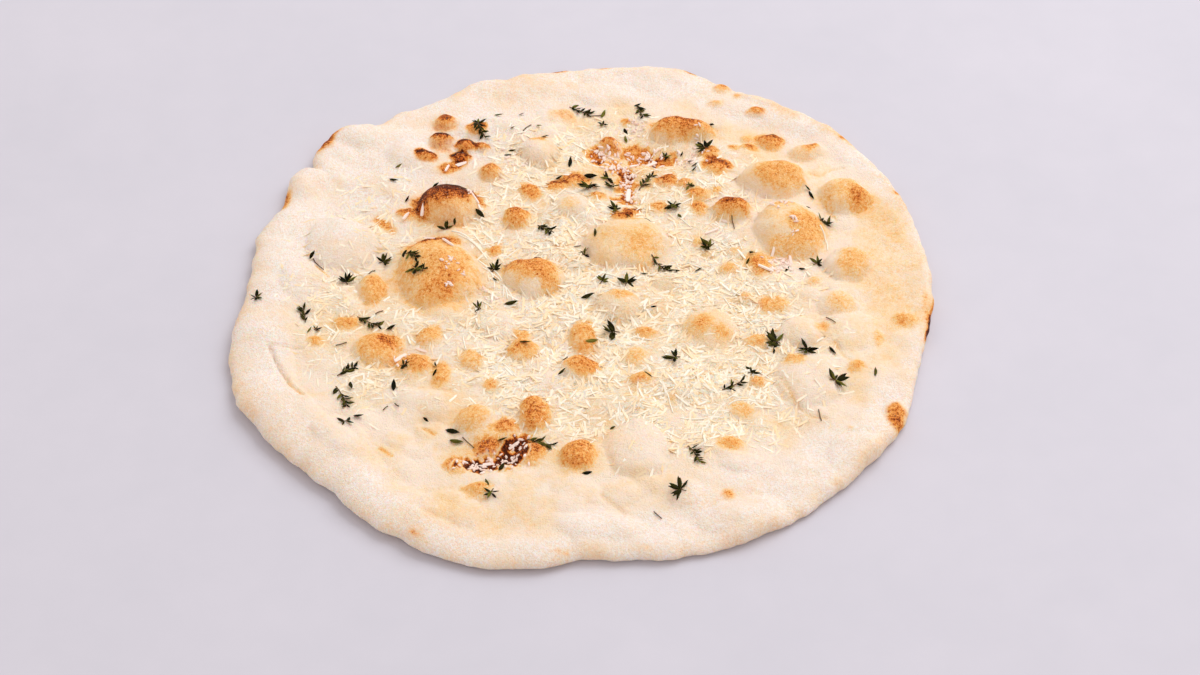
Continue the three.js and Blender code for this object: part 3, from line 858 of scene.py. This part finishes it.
def linear(red, green, blue, alpha=1.0):
    """A colour given in everyday 0 to 255 values, as the shader's linear light."""
    def one(channel):
        c = channel / 255
        return c / 12.92 if c <= 0.04045 else ((c + 0.055) / 1.055) ** 2.4
    return (one(red), one(green), one(blue), alpha)


def colour_ramp(tree, value, stops):
    """A colour for each value, from a table of values and colours that goes from 0 to 1."""
    ramp = add(tree, "ShaderNodeValToRGB", {"Fac": value})
    elements = ramp.color_ramp.elements
    for position, _ in stops[1:-1]:
        elements.new(position)
    for element, (_, colour) in zip(elements, stops):
        element.color = linear(*colour)
    return ramp.outputs["Color"]


def group_tree(name, inputs, outputs):
    """A shader node group with named inputs and outputs, and its two end nodes."""
    tree = bpy.data.node_groups.new(name, "ShaderNodeTree")
    kinds = {"value": "NodeSocketFloat", "colour": "NodeSocketColor", "vector": "NodeSocketVector"}
    for label, kind, default in inputs:
        socket = tree.interface.new_socket(label, in_out="INPUT", socket_type=kinds[kind])
        socket.default_value = default
    for label, kind in outputs:
        tree.interface.new_socket(label, in_out="OUTPUT", socket_type=kinds[kind])
    return tree, tree.nodes.new("NodeGroupInput"), tree.nodes.new("NodeGroupOutput")


def place_group(tree, group, inputs):
    """A use of a shader group that has one output."""
    return add(tree, "ShaderNodeGroup", inputs, node_tree=group).outputs[0]


def mottle(tree, place, coarse, fine, fine_share):
    """Uneven specks around 0, at two sizes."""
    return place_group(tree, MOTTLE, {"Vector": place, "Coarse": coarse, "Fine": fine,
                                      "Fine Share": fine_share})


def new_material(name):
    """A material with its node tree, its shader, and the place on the object."""
    material = bpy.data.materials.new(name)
    material.use_nodes = True
    tree = material.node_tree
    place = add(tree, "ShaderNodeTexCoord").outputs["Object"]
    return material, tree, tree.nodes["Principled BSDF"], place


def bump(tree, strength, distance, height):
    """The normal of a surface with fine relief, the distance in metres."""
    return add(tree, "ShaderNodeBump", {"Strength": strength, "Distance": distance,
                                        "Height": height}).outputs["Normal"]


# ---------------------------------------------------------------- shared shader groups

def mottle_group():
    """Uneven specks at two sizes, as a value around 0 for colour and relief."""
    tree, start, end = group_tree(
        "Mottle",
        [("Vector", "vector", (0, 0, 0)), ("Coarse", "value", 300.0), ("Fine", "value", 1200.0),
         ("Fine Share", "value", 0.5)],
        [("Value", "value")],
    )
    vector, coarse_scale, fine_scale, fine_share = start.outputs[:4]
    coarse = specks(tree, vector, coarse_scale, 3.0, 0.6)
    fine = specks(tree, vector, fine_scale, 2.0, 0.6)
    mixed = add(tree, "ShaderNodeMix", {"Factor": fine_share, "A": coarse, "B": fine})
    centred = subtract(tree, mixed.outputs["Result"], 0.5)
    set_inputs(tree, end, {"Value": multiply(tree, centred, 2.0)})
    return tree


def bake_colour_group():
    """The colour of baked crust: pale where the value is 0, nearly black where it is 1."""
    tree, start, end = group_tree("Bake Colour", [("Brown", "value", 0.0)], [("Color", "colour")])
    set_inputs(tree, end, {"Color": colour_ramp(tree, start.outputs["Brown"], BAKE_COLOURS)})
    return tree


def shred_weave_group():
    """Fine shreds lying every way over each other: 1 on a shred, 0 in the gaps between."""
    tree, start, end = group_tree("Shred Weave", [("Vector", "vector", (0, 0, 0))],
                                  [("Value", "value")])
    vector = start.outputs["Vector"]
    wander = add(tree, "ShaderNodeTexNoise", {"Vector": vector, "Scale": 110.0}).outputs["Color"]
    shift = vector_node(tree, "MULTIPLY", wander, (0.006, 0.006, 0.0))
    place = vector_node(tree, "ADD", vector, shift)
    weave = None
    for turn in (0.5, 1.2, 1.9, 2.7):
        along = add(tree, "ShaderNodeMapping",
                    {"Vector": place, "Rotation": (0.0, 0.0, turn), "Scale": (240.0, 900.0, 60.0)})
        strip = above(tree, specks(tree, along.outputs[0], 1.0, 1.0), 0.5, 0.62)
        weave = strip if weave is None else math_node(tree, "MAXIMUM", weave, strip)
    set_inputs(tree, end, {"Value": weave})
    return tree


# Colours in everyday 0 to 255 values; the first two tables give them from 0 to 1.
BAKE_COLOURS = [
    (0.0, (254, 234, 217)), (0.14, (253, 225, 191)), (0.3, (252, 210, 154)),
    (0.46, (248, 190, 115)), (0.62, (236, 158, 78)), (0.76, (208, 113, 45)),
    (0.88, (136, 60, 24)), (1.0, (72, 30, 14)),
]
THYME_COLOURS = [(0.0, (17, 18, 8)), (0.55, (54, 52, 18)), (1.0, (138, 134, 56))]
STALK_COLOURS = (58, 50, 26), (120, 84, 48)
SHRED_COLOURS = (255, 251, 238), (255, 226, 180)
FLAKE_COLOURS = (255, 241, 233), (246, 218, 204)
# The melted cheese goes from its gap colour to its shred colour; the darker gaps are partly the
# crust showing through and partly painted shade between the shreds.
MELTED_AND_GAP_SHADE_COLOURS = (255, 204, 142), (255, 250, 236)
TOASTED_CHEESE = (232, 172, 104)
FLOUR_SPECKS = (255, 226, 196)
FLOURED_DOUGH = (246, 222, 202)
FLOUR = (255, 246, 240)
FLOOR_COLOURS = (206, 206, 218), (213, 212, 224)

# Specks of the materials: coarse scale, fine scale, and the share of the fine.
LEATHER = (700.0, 1600.0, 0.5)
DRIFT = (42.0, 420.0, 0.25)
DUST = (800.0, 1900.0, 0.5)
CHEESE_SPECKS = (260.0, 900.0, 0.4)
LEAF_SPECKS = (700.0, 2500.0, 0.4)
STALK_SPECKS = (90.0, 1500.0, 0.4)
FLOOR_SPECKS = (9.0, 60.0, 0.3)

MOTTLE = mottle_group()
BAKE_COLOUR = bake_colour_group()
SHRED_WEAVE = shred_weave_group()


def crust_material():
    """Baked dough: browned, burnt, floured or under melted cheese by what each vertex says."""
    material, tree, shader, place = new_material("baked_crust")
    brown = vertex_value(tree, "brown")
    burnt = vertex_value(tree, "burnt")
    flour = vertex_value(tree, "flour")
    cheese = vertex_value(tree, "cheese")
    leather = mottle(tree, place, *LEATHER)
    drift = mottle(tree, place, *DRIFT)
    dust = mottle(tree, place, *DUST)

    # The baking is uneven, most of all where it is middling.
    middling = multiply(tree, brown, subtract(tree, 1.08, brown))
    depth = add_up(tree, multiply(tree, middling, 2.7), 0.14)
    shade = add_up(tree, brown, multiply(tree, leather, depth))
    golden = above(tree, drift, -0.15, 0.32, 0.25)
    shade = add_up(tree, shade, golden, clamp=True)
    baked = place_group(tree, BAKE_COLOUR, {"Brown": shade})

    # Half-melted cheese, toasted here and there, its gaps between shreds painted darker: partly the
    # crust showing through, partly painted shade between the shreds.
    weave = place_group(tree, SHRED_WEAVE, {"Vector": place})
    weave = add_up(tree, weave, multiply(tree, dust, 0.9), clamp=True)
    melted = mix_colours(tree, weave, *MELTED_AND_GAP_SHADE_COLOURS)
    melted = mix_colours(tree, above(tree, leather, 0.1, 0.27, 0.8), melted, TOASTED_CHEESE)
    covered = mix_colours(tree, multiply(tree, cheese, 0.9, clamp=True), baked, melted)

    # The burnt pits.
    scorch = subtract(tree, multiply(tree, burnt, 1.02), multiply(tree, leather, 0.7))
    charred = place_group(tree, BAKE_COLOUR, {"Brown": scorch})
    pitted = mix_colours(tree, multiply(tree, burnt, 4.0, clamp=True), covered, charred)

    # Flour: specks of it on browned crust, and a coat where the crust is bare and pale.
    speck = multiply(tree, above(tree, dust, 0.2, 0.36, 1.2), brown, clamp=True)
    dusted = mix_colours(tree, speck, pitted, FLOUR_SPECKS)
    bare = subtract(tree, 1.0, multiply(tree, brown, 2.2), clamp=True)
    floury = multiply(tree, flour, bare)
    dough = mix_colours(tree, multiply(tree, floury, 0.85), dusted, FLOURED_DOUGH)
    cover = add_up(tree, 0.64, multiply(tree, dust, 3.0))
    colour = mix_colours(tree, multiply(tree, cover, floury, clamp=True), dough, FLOUR)

    grain = add_up(tree, leather, multiply(tree, dust, 0.8))
    grain = add_up(tree, grain, multiply(tree, weave, cheese))
    set_inputs(tree, shader, {
        "Base Color": colour, "Normal": bump(tree, 0.8, 0.0005, grain),
        "Roughness": subtract(tree, 0.85, multiply(tree, brown, 0.35)),
        "Specular IOR Level": 0.08, "Subsurface Weight": 0.35,
        "Subsurface Radius": (1.0, 0.5, 0.3), "Subsurface Scale": 0.003,
    })
    return material


def cheese_material(name, colours):
    """Grated cheese, each bit with a tint of its own between the two colours."""
    material, tree, shader, place = new_material(name)
    speck = mottle(tree, place, *CHEESE_SPECKS)
    tint = add_up(tree, vertex_value(tree, "tint"), multiply(tree, speck, 0.3), clamp=True)
    set_inputs(tree, shader, {"Base Color": mix_colours(tree, tint, *colours),
                              "Normal": bump(tree, 0.3, 0.0003, speck), "Roughness": 0.6})
    return material


def herb_material():
    """Dried thyme leaves, each with a tint of its own."""
    material, tree, shader, place = new_material("dried_thyme")
    speck = mottle(tree, place, *LEAF_SPECKS)
    tint = add_up(tree, vertex_value(tree, "tint"), multiply(tree, speck, 0.35), clamp=True)
    set_inputs(tree, shader, {"Base Color": colour_ramp(tree, tint, THYME_COLOURS),
                              "Normal": bump(tree, 0.4, 0.0002, speck),
                              "Roughness": 0.7, "Specular IOR Level": 0.05})
    return material


def stalk_material():
    material, tree, shader, place = new_material("thyme_stalk")
    speck = add_up(tree, mottle(tree, place, *STALK_SPECKS), 0.5, clamp=True)
    set_inputs(tree, shader, {"Base Color": mix_colours(tree, speck, *STALK_COLOURS),
                              "Roughness": 0.65})
    return material


CRUST = crust_material()
CHEESE = cheese_material("grated_cheese", SHRED_COLOURS)
FLAKES = cheese_material("baked_on_cheese", FLAKE_COLOURS)
HERB = herb_material()
STALK = stalk_material()

bread = make_bread()
bread.data.materials.append(CRUST)

# ---------------------------------------------------------------- what is strewn on the bread


def node_group(name, sockets):
    """A Geometry Nodes tree with a geometry output and the given named inputs."""
    tree = bpy.data.node_groups.new(name, "GeometryNodeTree")
    for label, kind in sockets:
        tree.interface.new_socket(label, in_out="INPUT", socket_type="NodeSocket" + kind)
    tree.interface.new_socket("Geometry", in_out="OUTPUT", socket_type="NodeSocketGeometry")
    return tree, tree.nodes.new("NodeGroupInput"), tree.nodes.new("NodeGroupOutput")


def grown(name, carrier, tree, values):
    """The plain mesh that a tree makes on a carrier, as a new piece; the carrier goes."""
    modifier = carrier.modifiers.new(name, "NODES")
    modifier.node_group = tree
    sockets = {item.name: item.identifier for item in tree.interface.items_tree
               if item.in_out == "INPUT"}
    for label, value in values.items():
        modifier[sockets[label]] = value
    bpy.context.view_layer.update()
    mesh = bpy.data.meshes.new_from_object(
        carrier.evaluated_get(bpy.context.evaluated_depsgraph_get()))
    bpy.data.objects.remove(carrier)
    if mesh.materials[0] is None:
        mesh.materials.pop(index=0)
    mesh.name = name
    return new_object(name, mesh)


def value_at_point(tree, name, kind):
    """A value that each vertex or point carries under a name."""
    node = add(tree, "GeometryNodeInputNamedAttribute", {"Name": name}, data_type=kind)
    return node.outputs["Attribute"]


def drop_onto(tree, geometry, bread_geometry):
    """Sets each vertex as high over the bread as it now is over the ground."""
    place = add(tree, "ShaderNodeSeparateXYZ",
                {0: add(tree, "GeometryNodeInputPosition").outputs[0]}).outputs
    overhead = add(tree, "ShaderNodeCombineXYZ", {"X": place["X"], "Y": place["Y"], "Z": 1.0})
    ray = add(tree, "GeometryNodeRaycast",
              {"Target Geometry": bread_geometry, "Source Position": overhead.outputs[0],
               "Ray Direction": (0.0, 0.0, -1.0), "Ray Length": 2.0})
    lift = add(tree, "ShaderNodeCombineXYZ", {"Z": place["Z"]})
    landed = vector_node(tree, "ADD", ray.outputs["Hit Position"], lift.outputs[0])
    return add(tree, "GeometryNodeSetPosition",
               {"Geometry": geometry, "Selection": ray.outputs["Is Hit"],
                "Position": landed}).outputs[0]


def random_value(tree, low, high, seed, offset):
    """A random number for each point, from a seed and what is added to it."""
    node = add(tree, "FunctionNodeRandomValue", data_type="FLOAT")
    low_place, high_place = [place for place, socket in enumerate(node.inputs)
                             if socket.type == "VALUE" and socket.enabled][:2]
    set_inputs(tree, node, {low_place: low, high_place: high,
                            "Seed": add_up(tree, seed, offset)})
    return next(socket for socket in node.outputs if socket.type == "VALUE" and socket.enabled)


def shred_shapes(tree):
    """A few short bowed shreds, 1 long, to pick from."""
    section = add(tree, "GeometryNodeCurvePrimitiveCircle", {"Resolution": 3, "Radius": 0.6})
    shreds = add(tree, "GeometryNodeJoinGeometry")
    for bend, rise in ((0.4, 0.2), (1.2, 0.4), (-1.7, 0.1), (-0.7, 0.5)):
        line = add(tree, "GeometryNodeCurveQuadraticBezier",
                   {"Resolution": 3, "Start": (-0.5, 0.0, -0.4), "Middle": (0.0, bend, rise),
                    "End": (0.5, 0.0, -0.4)})
        shred = add(tree, "GeometryNodeCurveToMesh",
                    {"Curve": line.outputs[0], "Profile Curve": section.outputs[0],
                     "Fill Caps": True})
        one = add(tree, "GeometryNodeGeometryToInstance", {0: shred.outputs[0]})
        tree.links.new(one.outputs[0], shreds.inputs[0])
    return shreds.outputs[0]


def cheese_tree():
    """Fine grated shreds, strewn by the bread's own cheese cover and lying down on it."""
    tree, start, end = node_group("Grated Cheese", [
        ("Bread", "Geometry"), ("Density", "Float"), ("Shortest", "Float"), ("Longest", "Float"),
        ("Thickness", "Float"), ("Seed", "Int"), ("Finish", "Material"),
    ])
    skin, seed = start.outputs["Bread"], start.outputs["Seed"]
    density = multiply(tree, value_at_point(tree, "cheese", "FLOAT"), start.outputs["Density"])
    points = add(tree, "GeometryNodeDistributePointsOnFaces",
                 {"Mesh": skin, "Density": density, "Seed": seed}).outputs["Points"]
    flat = vector_node(tree, "MULTIPLY", add(tree, "GeometryNodeInputPosition").outputs[0],
                       (1.0, 1.0, 0.0))
    points = add(tree, "GeometryNodeSetPosition", {"Geometry": points, "Position": flat}).outputs[0]

    turn = add(tree, "ShaderNodeCombineXYZ",
               {"Z": random_value(tree, 0.0, FULL_TURN, seed, 1.0)}).outputs[0]
    length = random_value(tree, start.outputs["Shortest"], start.outputs["Longest"], seed, 2.0)
    thick = multiply(tree, random_value(tree, 0.7, 1.25, seed, 3.0), start.outputs["Thickness"])
    size = add(tree, "ShaderNodeCombineXYZ",
               {"X": length, "Y": thick, "Z": multiply(tree, thick, 0.28)}).outputs[0]
    strewn = add(tree, "GeometryNodeInstanceOnPoints",
                 {"Points": points, "Instance": shred_shapes(tree), "Pick Instance": True,
                  "Rotation": turn, "Scale": size})
    tinted = add(tree, "GeometryNodeStoreNamedAttribute",
                 {"Geometry": strewn.outputs[0], "Name": "tint",
                  "Value": random_value(tree, 0.0, 1.0, seed, 4.0)},
                 data_type="FLOAT", domain="INSTANCE")
    real = add(tree, "GeometryNodeRealizeInstances", {0: tinted.outputs[0]})
    faceted = add(tree, "GeometryNodeSetShadeSmooth",
                  {"Geometry": real.outputs[0], "Shade Smooth": False})
    finished = add(tree, "GeometryNodeSetMaterial",
                   {"Geometry": drop_onto(tree, faceted.outputs[0], skin),
                    "Material": start.outputs["Finish"]})
    set_inputs(tree, end, {0: finished.outputs[0]})
    return tree


def strewn_tree():
    """One small form on each given point, turned and sized by the point's own values."""
    tree, start, end = node_group("Strewn Pieces", [
        ("Points", "Geometry"), ("Form", "Object"), ("Finish", "Material"),
    ])
    form = add(tree, "GeometryNodeObjectInfo", {"Object": start.outputs["Form"]})
    strewn = add(tree, "GeometryNodeInstanceOnPoints",
                 {"Points": start.outputs["Points"], "Instance": form.outputs["Geometry"],
                  "Rotation": value_at_point(tree, "turn", "FLOAT_VECTOR"),
                  "Scale": value_at_point(tree, "size", "FLOAT_VECTOR")})
    real = add(tree, "GeometryNodeRealizeInstances", {0: strewn.outputs[0]})
    finished = add(tree, "GeometryNodeSetMaterial",
                   {"Geometry": real.outputs[0], "Material": start.outputs["Finish"]})
    set_inputs(tree, end, {0: finished.outputs[0]})
    return tree


def leaf_rings():
    """A thyme leaf, 1 long from its foot along +X, its edges rolled down."""
    steps, sides = 6, 6
    rings = [[(0.0, 0.0, 0.0)]]
    for k in range(1, steps):
        wide = 0.5 * math.sin(math.pi * (k / steps) ** 0.85)
        turns = [-FULL_TURN * side / sides for side in range(sides)]
        rings.append([(k / steps, wide * math.cos(t),
                       0.45 * wide * math.sin(t) - 0.9 * (wide * math.cos(t)) ** 2)
                      for t in turns])
    return rings + [[(1.0, 0.0, -0.1)]]


def ribbon_rings():
    """A flat straight bit of coarsely grated cheese, 1 long, 1 wide and 1 thick."""
    rings = [[(-0.5, 0.0, 0.0)]]
    for along, full in ((-0.46, 0.8), (-0.15, 1.0), (0.18, 0.95), (0.45, 0.75)):
        corners = ((-0.5, -0.35), (0.5, -0.35), (0.44, 0.4), (-0.4, 0.5))
        rings.append([(along, full * y, full * z) for y, z in corners])
    return rings + [[(0.5, 0.0, 0.0)]]


def crumb_rings():
    """A broken bit of a shred, about 1 long: a flat uneven lump."""
    rings = [[(0.0, 0.0, 0.5)]]
    for level, reach in ((0.38, 0.3), (0.05, 0.5), (-0.3, 0.42)):
        turns = [FULL_TURN * k / 6 for k in range(6)]
        rings.append([(reach * (1 + 0.25 * math.sin(3 * t + 5 * level)) * math.cos(t),
                       reach * (1 + 0.25 * math.cos(2 * t + level)) * math.sin(t),
                       level + 0.1 * math.sin(2 * t + level)) for t in turns])
    return rings + [[(0.0, 0.0, -0.4)]]


class Strewing:
    """Collects where the copies of one small form go, then makes them one piece."""

    def __init__(self):
        self.copies = []

    def put(self, place, turn, size, tint):
        """A copy at x, y and its lift over the bread's top, turned and sized."""
        self.copies.append((*place, *turn, *size, tint))

    def grow(self, name, rings, finish):
        """The piece that all the copies make, each lying down on the bread's own slope."""
        copies = np.array(self.copies)
        x, y, lift = copies[:, :3].T
        turns, sizes, tints = copies[:, 3:6], copies[:, 6:9], copies[:, 9]
        reach = sizes[:, 0]
        ahead_x = reach * np.cos(turns[:, 2])
        ahead_y = reach * np.sin(turns[:, 2])
        foot = surface_height(x, y)
        turns[:, 1] -= np.arctan2(surface_height(x + ahead_x, y + ahead_y) - foot, reach)
        turns[:, 0] += np.arctan2(surface_height(x - ahead_y, y + ahead_x) - foot, reach)
        points = placed(np.column_stack([x, y, foot + lift]))

        form = new_object(name + "_form", new_mesh(name + "_form", *closed_skin(rings)))
        carrier = new_object(name + "_points", new_mesh(name + "_points", points, []))
        for label, values in (("turn", turns), ("size", sizes * MM)):
            layer = carrier.data.attributes.new(label, "FLOAT_VECTOR", "POINT")
            layer.data.foreach_set("vector", values.astype(np.float32).ravel())
        paint(carrier, "tint", tints)
        piece = grown(name, carrier, STREWN, {"Form": form, "Finish": finish})
        bpy.data.objects.remove(form)
        return piece


def tube(points, radius, sides=5):
    """The rings of a thin strand along points, tapered at its two ends."""
    path = np.array(points, dtype=float)
    along = np.gradient(path, axis=0)
    along /= np.linalg.norm(along, axis=1)[:, None]
    side = np.cross(along, [0.0, 0.0, 1.0])
    side /= np.linalg.norm(side, axis=1)[:, None]
    up = np.cross(side, along)
    rings = [[tuple(path[0] - 0.7 * along[0] * radius)]]
    for place, across, over in zip(path, side, up):
        turns = [FULL_TURN * k / sides for k in range(sides)]
        rings.append([tuple(place + radius * (math.cos(t) * across + math.sin(t) * over))
                      for t in turns])
    return rings + [[tuple(path[-1] + 0.7 * along[-1] * radius)]]


class Strands:
    """Collects thin strands that lie over the bread, then makes them one piece."""

    STEPS = 11

    def __init__(self):
        self.lines = []

    def lay(self, x, y, heading, length, radius, bend, lift):
        """A bowed strand about its middle; gives where its points are on the plan."""
        step = np.linspace(-0.5, 0.5, self.STEPS)
        c, s = direction(heading)
        off = bend * length * (0.25 - step * step)
        line_x = x + length * step * c - off * s
        line_y = y + length * step * s + off * c
        self.lines.append((line_x, line_y, radius, lift))
        return list(zip(line_x, line_y))

    def grow(self, name, finish):
        """The piece that all the strands make, each as high as the bread under it."""
        every_x = np.concatenate([line[0] for line in self.lines])
        every_y = np.concatenate([line[1] for line in self.lines])
        heights = surface_height(every_x, every_y).reshape(-1, self.STEPS)
        points = []
        faces = []
        for (line_x, line_y, radius, lift), height in zip(self.lines, heights):
            path = np.column_stack([line_x, line_y, height + radius + lift])
            skin, skin_faces = closed_skin(tube(path, radius))
            start = len(points)
            points += skin
            faces += [tuple(start + k for k in face) for face in skin_faces]
        piece = new_piece(name, points, faces)
        piece.data.materials.append(finish)
        return piece


CHEESE_TREE = cheese_tree()
STREWN = strewn_tree()


def strew_cheese():
    """The grated cheese that lies over most of the bread."""
    carrier = new_object("cheese_carrier", bread.data)
    return grown("grated_cheese", carrier, CHEESE_TREE, {
        "Density": CHEESE_DENSITY, "Shortest": SHRED_LENGTH[0], "Longest": SHRED_LENGTH[1],
        "Thickness": SHRED_THICKNESS, "Seed": 5, "Finish": CHEESE,
    })


def cheesy_places(random, count, least, most):
    """Random places, more of them the thicker the cheese lies."""
    tries = 12 * count
    x, y = random.uniform(-125, 125, (2, tries))
    found = cheese_cover(x, y) > random.uniform(least, most, tries)
    return list(zip(x[found], y[found]))[:count]


def lay_long_shreds():
    """The few long thin shreds that lie over the rest."""
    random = np.random.default_rng(93)
    shreds = Strands()
    for x, y, length, heading in LONG_SHREDS:
        shreds.lay(x, y, heading, length, LONG_SHRED_RADIUS, random.uniform(0.3, 0.6), -0.15)
    for x, y in cheesy_places(random, STRAIGHT_SHREDS, 0.25, 0.7):
        shreds.lay(x, y, random.uniform(0, 360), random.uniform(*LOOSE_SHRED_LENGTH),
                   LOOSE_SHRED_RADIUS, random.uniform(-0.25, 0.25), -0.1)
    return shreds.grow("long_shreds", CHEESE)


def lay_coarse_shreds():
    """The coarse flat shreds, most of them on dark places."""
    random = np.random.default_rng(94)
    shreds = Strewing()
    for x, y, length, wide, heading in COARSE_SHREDS:
        turn = (random.uniform(-0.2, 0.2), 0.0, math.radians(heading))
        size = (length, wide, COARSE_THICKNESS)
        shreds.put((x, y, 0.4), turn, size, random.uniform(0, 0.4))
    return shreds.grow("coarse_shreds", ribbon_rings(), FLAKES)


def strew_strips():
    """Flat strips of cheese, wider than the fine shreds, lying anywhere in the cheese."""
    random = np.random.default_rng(95)
    strips = Strewing()
    for x, y in cheesy_places(random, LOOSE_STRIPS, 0.05, 0.7):
        turn = (random.uniform(-0.25, 0.25), 0.0, random.uniform(0, FULL_TURN))
        size = (random.uniform(*STRIP_LENGTH), random.uniform(*STRIP_WIDTH), STRIP_THICKNESS)
        strips.put((x, y, 0.12), turn, size, random.uniform(0, 0.9))
    return strips.grow("cheese_strips", ribbon_rings(), CHEESE)


def strew_thyme():
    """Leaves and stalks of thyme: the leaves are one piece and the stalks another."""
    random = np.random.default_rng(81)
    leaves = Strewing()
    stalks = Strands()

    def lay_leaf(x, y, lift, heading, length, rise=LEAF_RISE):
        turn = (random.uniform(-0.8, 0.8), random.uniform(-rise - 0.25, 0.15 - rise),
                math.radians(heading))
        wide = length * random.uniform(*LEAF_WIDTH)
        leaves.put((x, y, lift), turn, (length, wide, wide), random.uniform(0.0, 0.8))

    def lay_stalk(x, y, heading, length, radius):
        return stalks.lay(x, y, heading, length, radius, random.uniform(-0.3, 0.3), 0.3)

    def lay_tuft(x, y, heading, length):
        ahead_x, ahead_y = direction(heading)
        count = 8 if length > 6 else 5
        for k in range(count):
            spread = (k / (count - 1) - 0.5) * TUFT_SPREAD + random.uniform(-22, 22)
            back = random.uniform(0.05, 0.3) * length
            lay_leaf(x - back * ahead_x, y - back * ahead_y, 0.3 + 0.25 * (k % 3),
                     heading + spread, length * random.uniform(*TUFT_LEAF),
                     random.uniform(0.05, 0.5))
        lay_stalk(x - 0.2 * length * ahead_x, y - 0.2 * length * ahead_y,
                  heading + random.uniform(-20, 20), 0.6 * length, TUFT_STALK_RADIUS)

    def lay_sprig(x, y, heading, length):
        for foot_x, foot_y in lay_stalk(x, y, heading, length, STALK_RADIUS)[1:]:
            for side in (-1, 1):
                if random.uniform() < SPRIG_FULLNESS:
                    lay_leaf(foot_x, foot_y, 0.6, heading + side * random.uniform(10, 70),
                             random.uniform(*SPRIG_LEAF))

    for kind, x, y, length, heading in THYME:
        if kind == "leaf":
            ahead_x, ahead_y = direction(heading)
            lay_leaf(x - length / 2 * ahead_x, y - length / 2 * ahead_y, 0.4, heading, length)
        elif kind == "twig":
            lay_stalk(x, y, heading, length, STALK_RADIUS)
        elif kind == "star":
            lay_tuft(x, y, heading, length)
        else:
            lay_sprig(x, y, heading, length)

    return [leaves.grow("thyme_leaves", leaf_rings(), HERB), stalks.grow("thyme_stalks", STALK)]


def strew_clumps():
    """Loose white crumbs of cheese, most of them on the dark places."""
    random = np.random.default_rng(91)
    crumbs = Strewing()
    for x, y, wide, deep, count in CHEESE_CLUMPS:
        for _ in range(count):
            size = random.uniform(*CRUMB_SIZE)
            place = (x + 0.55 * wide * random.normal(), y + 0.55 * deep * random.normal(),
                     0.2 * size)
            turn = (random.uniform(-0.5, 0.5), random.uniform(-0.4, 0.4),
                    random.uniform(0, FULL_TURN))
            crumbs.put(place, turn, (size * random.uniform(1.0, 2.4), size, size * 0.7),
                       random.uniform(0, 1))
    return crumbs.grow("cheese_crumbs", crumb_rings(), FLAKES)


toppings = {
    "cheese": [strew_cheese(), lay_long_shreds(), lay_coarse_shreds(), strew_strips(),
               strew_clumps()],
    "herb": strew_thyme(),
}

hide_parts("focaccia")
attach(bread, "root")
for slot, pieces in toppings.items():
    for piece in pieces:
        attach(piece, "root")


# ---------------------------------------------------------------- floor, light and camera

FLOOR_HALF = 4.0
SKY_COLOUR = (1.0, 0.92, 0.87, 1)
SKY_STRENGTH = 0.76
CAMERA_TILT = math.radians(45.1)
CAMERA_DISTANCE = 1.274
CAMERA_TARGET = (0.0067, -0.0231, 0.0)
CAMERA_LENS = 84
SENSOR_WIDTH = 36


def make_floor():
    half = FLOOR_HALF
    corners = [(-half, -half, 0), (half, -half, 0), (half, half, 0), (-half, half, 0)]
    floor = new_object("floor", new_mesh("floor", corners, [(0, 1, 2, 3)]))
    material, tree, shader, place = new_material("pale_floor")
    cloud = add_up(tree, mottle(tree, place, *FLOOR_SPECKS), 0.5, clamp=True)
    set_inputs(tree, shader, {"Base Color": mix_colours(tree, cloud, *FLOOR_COLOURS),
                              "Roughness": 0.9, "Specular IOR Level": 0.1})
    floor.data.materials.append(material)


def area_light(name, azimuth, elevation, distance, size, power, colour):
    """A square soft box that looks at the bread from one side: azimuth 0 is +X, 90 is +Y."""
    data = bpy.data.lights.new(name, "AREA")
    data.size = size
    data.energy = power
    data.color = colour
    turn = math.radians(azimuth)
    rise = math.radians(elevation)
    lamp = new_object(name, data)
    lamp.location = (distance * math.cos(rise) * math.cos(turn),
                     distance * math.cos(rise) * math.sin(turn), distance * math.sin(rise))
    lamp.rotation_euler = (math.pi / 2 - rise, 0, turn + math.pi / 2)


def make_light():
    area_light("window", 45, 52, 2.2, 1.7, 26.5, (1.0, 1.0, 1.0))
    area_light("fill", 235, 50, 2.6, 2.2, 1.2, (1.0, 0.92, 0.86))
    world = bpy.data.worlds.new("studio")
    world.use_nodes = True
    sky = world.node_tree.nodes["Background"]
    sky.inputs["Color"].default_value = SKY_COLOUR
    sky.inputs["Strength"].default_value = SKY_STRENGTH
    bpy.context.scene.world = world


def make_camera():
    data = bpy.data.cameras.new("camera")
    data.lens = CAMERA_LENS
    data.sensor_width = SENSOR_WIDTH
    data.clip_start = 0.01
    camera = new_object("camera", data)
    camera.location = (
        CAMERA_TARGET[0],
        CAMERA_TARGET[1] - CAMERA_DISTANCE * math.cos(CAMERA_TILT),
        CAMERA_TARGET[2] + CAMERA_DISTANCE * math.sin(CAMERA_TILT),
    )
    camera.rotation_euler = (math.pi / 2 - CAMERA_TILT, 0, 0)
    bpy.context.scene.camera = camera


make_floor()
make_light()
make_camera()
bpy.context.scene.view_settings.view_transform = "Standard"

bpy.context.view_layer.update()
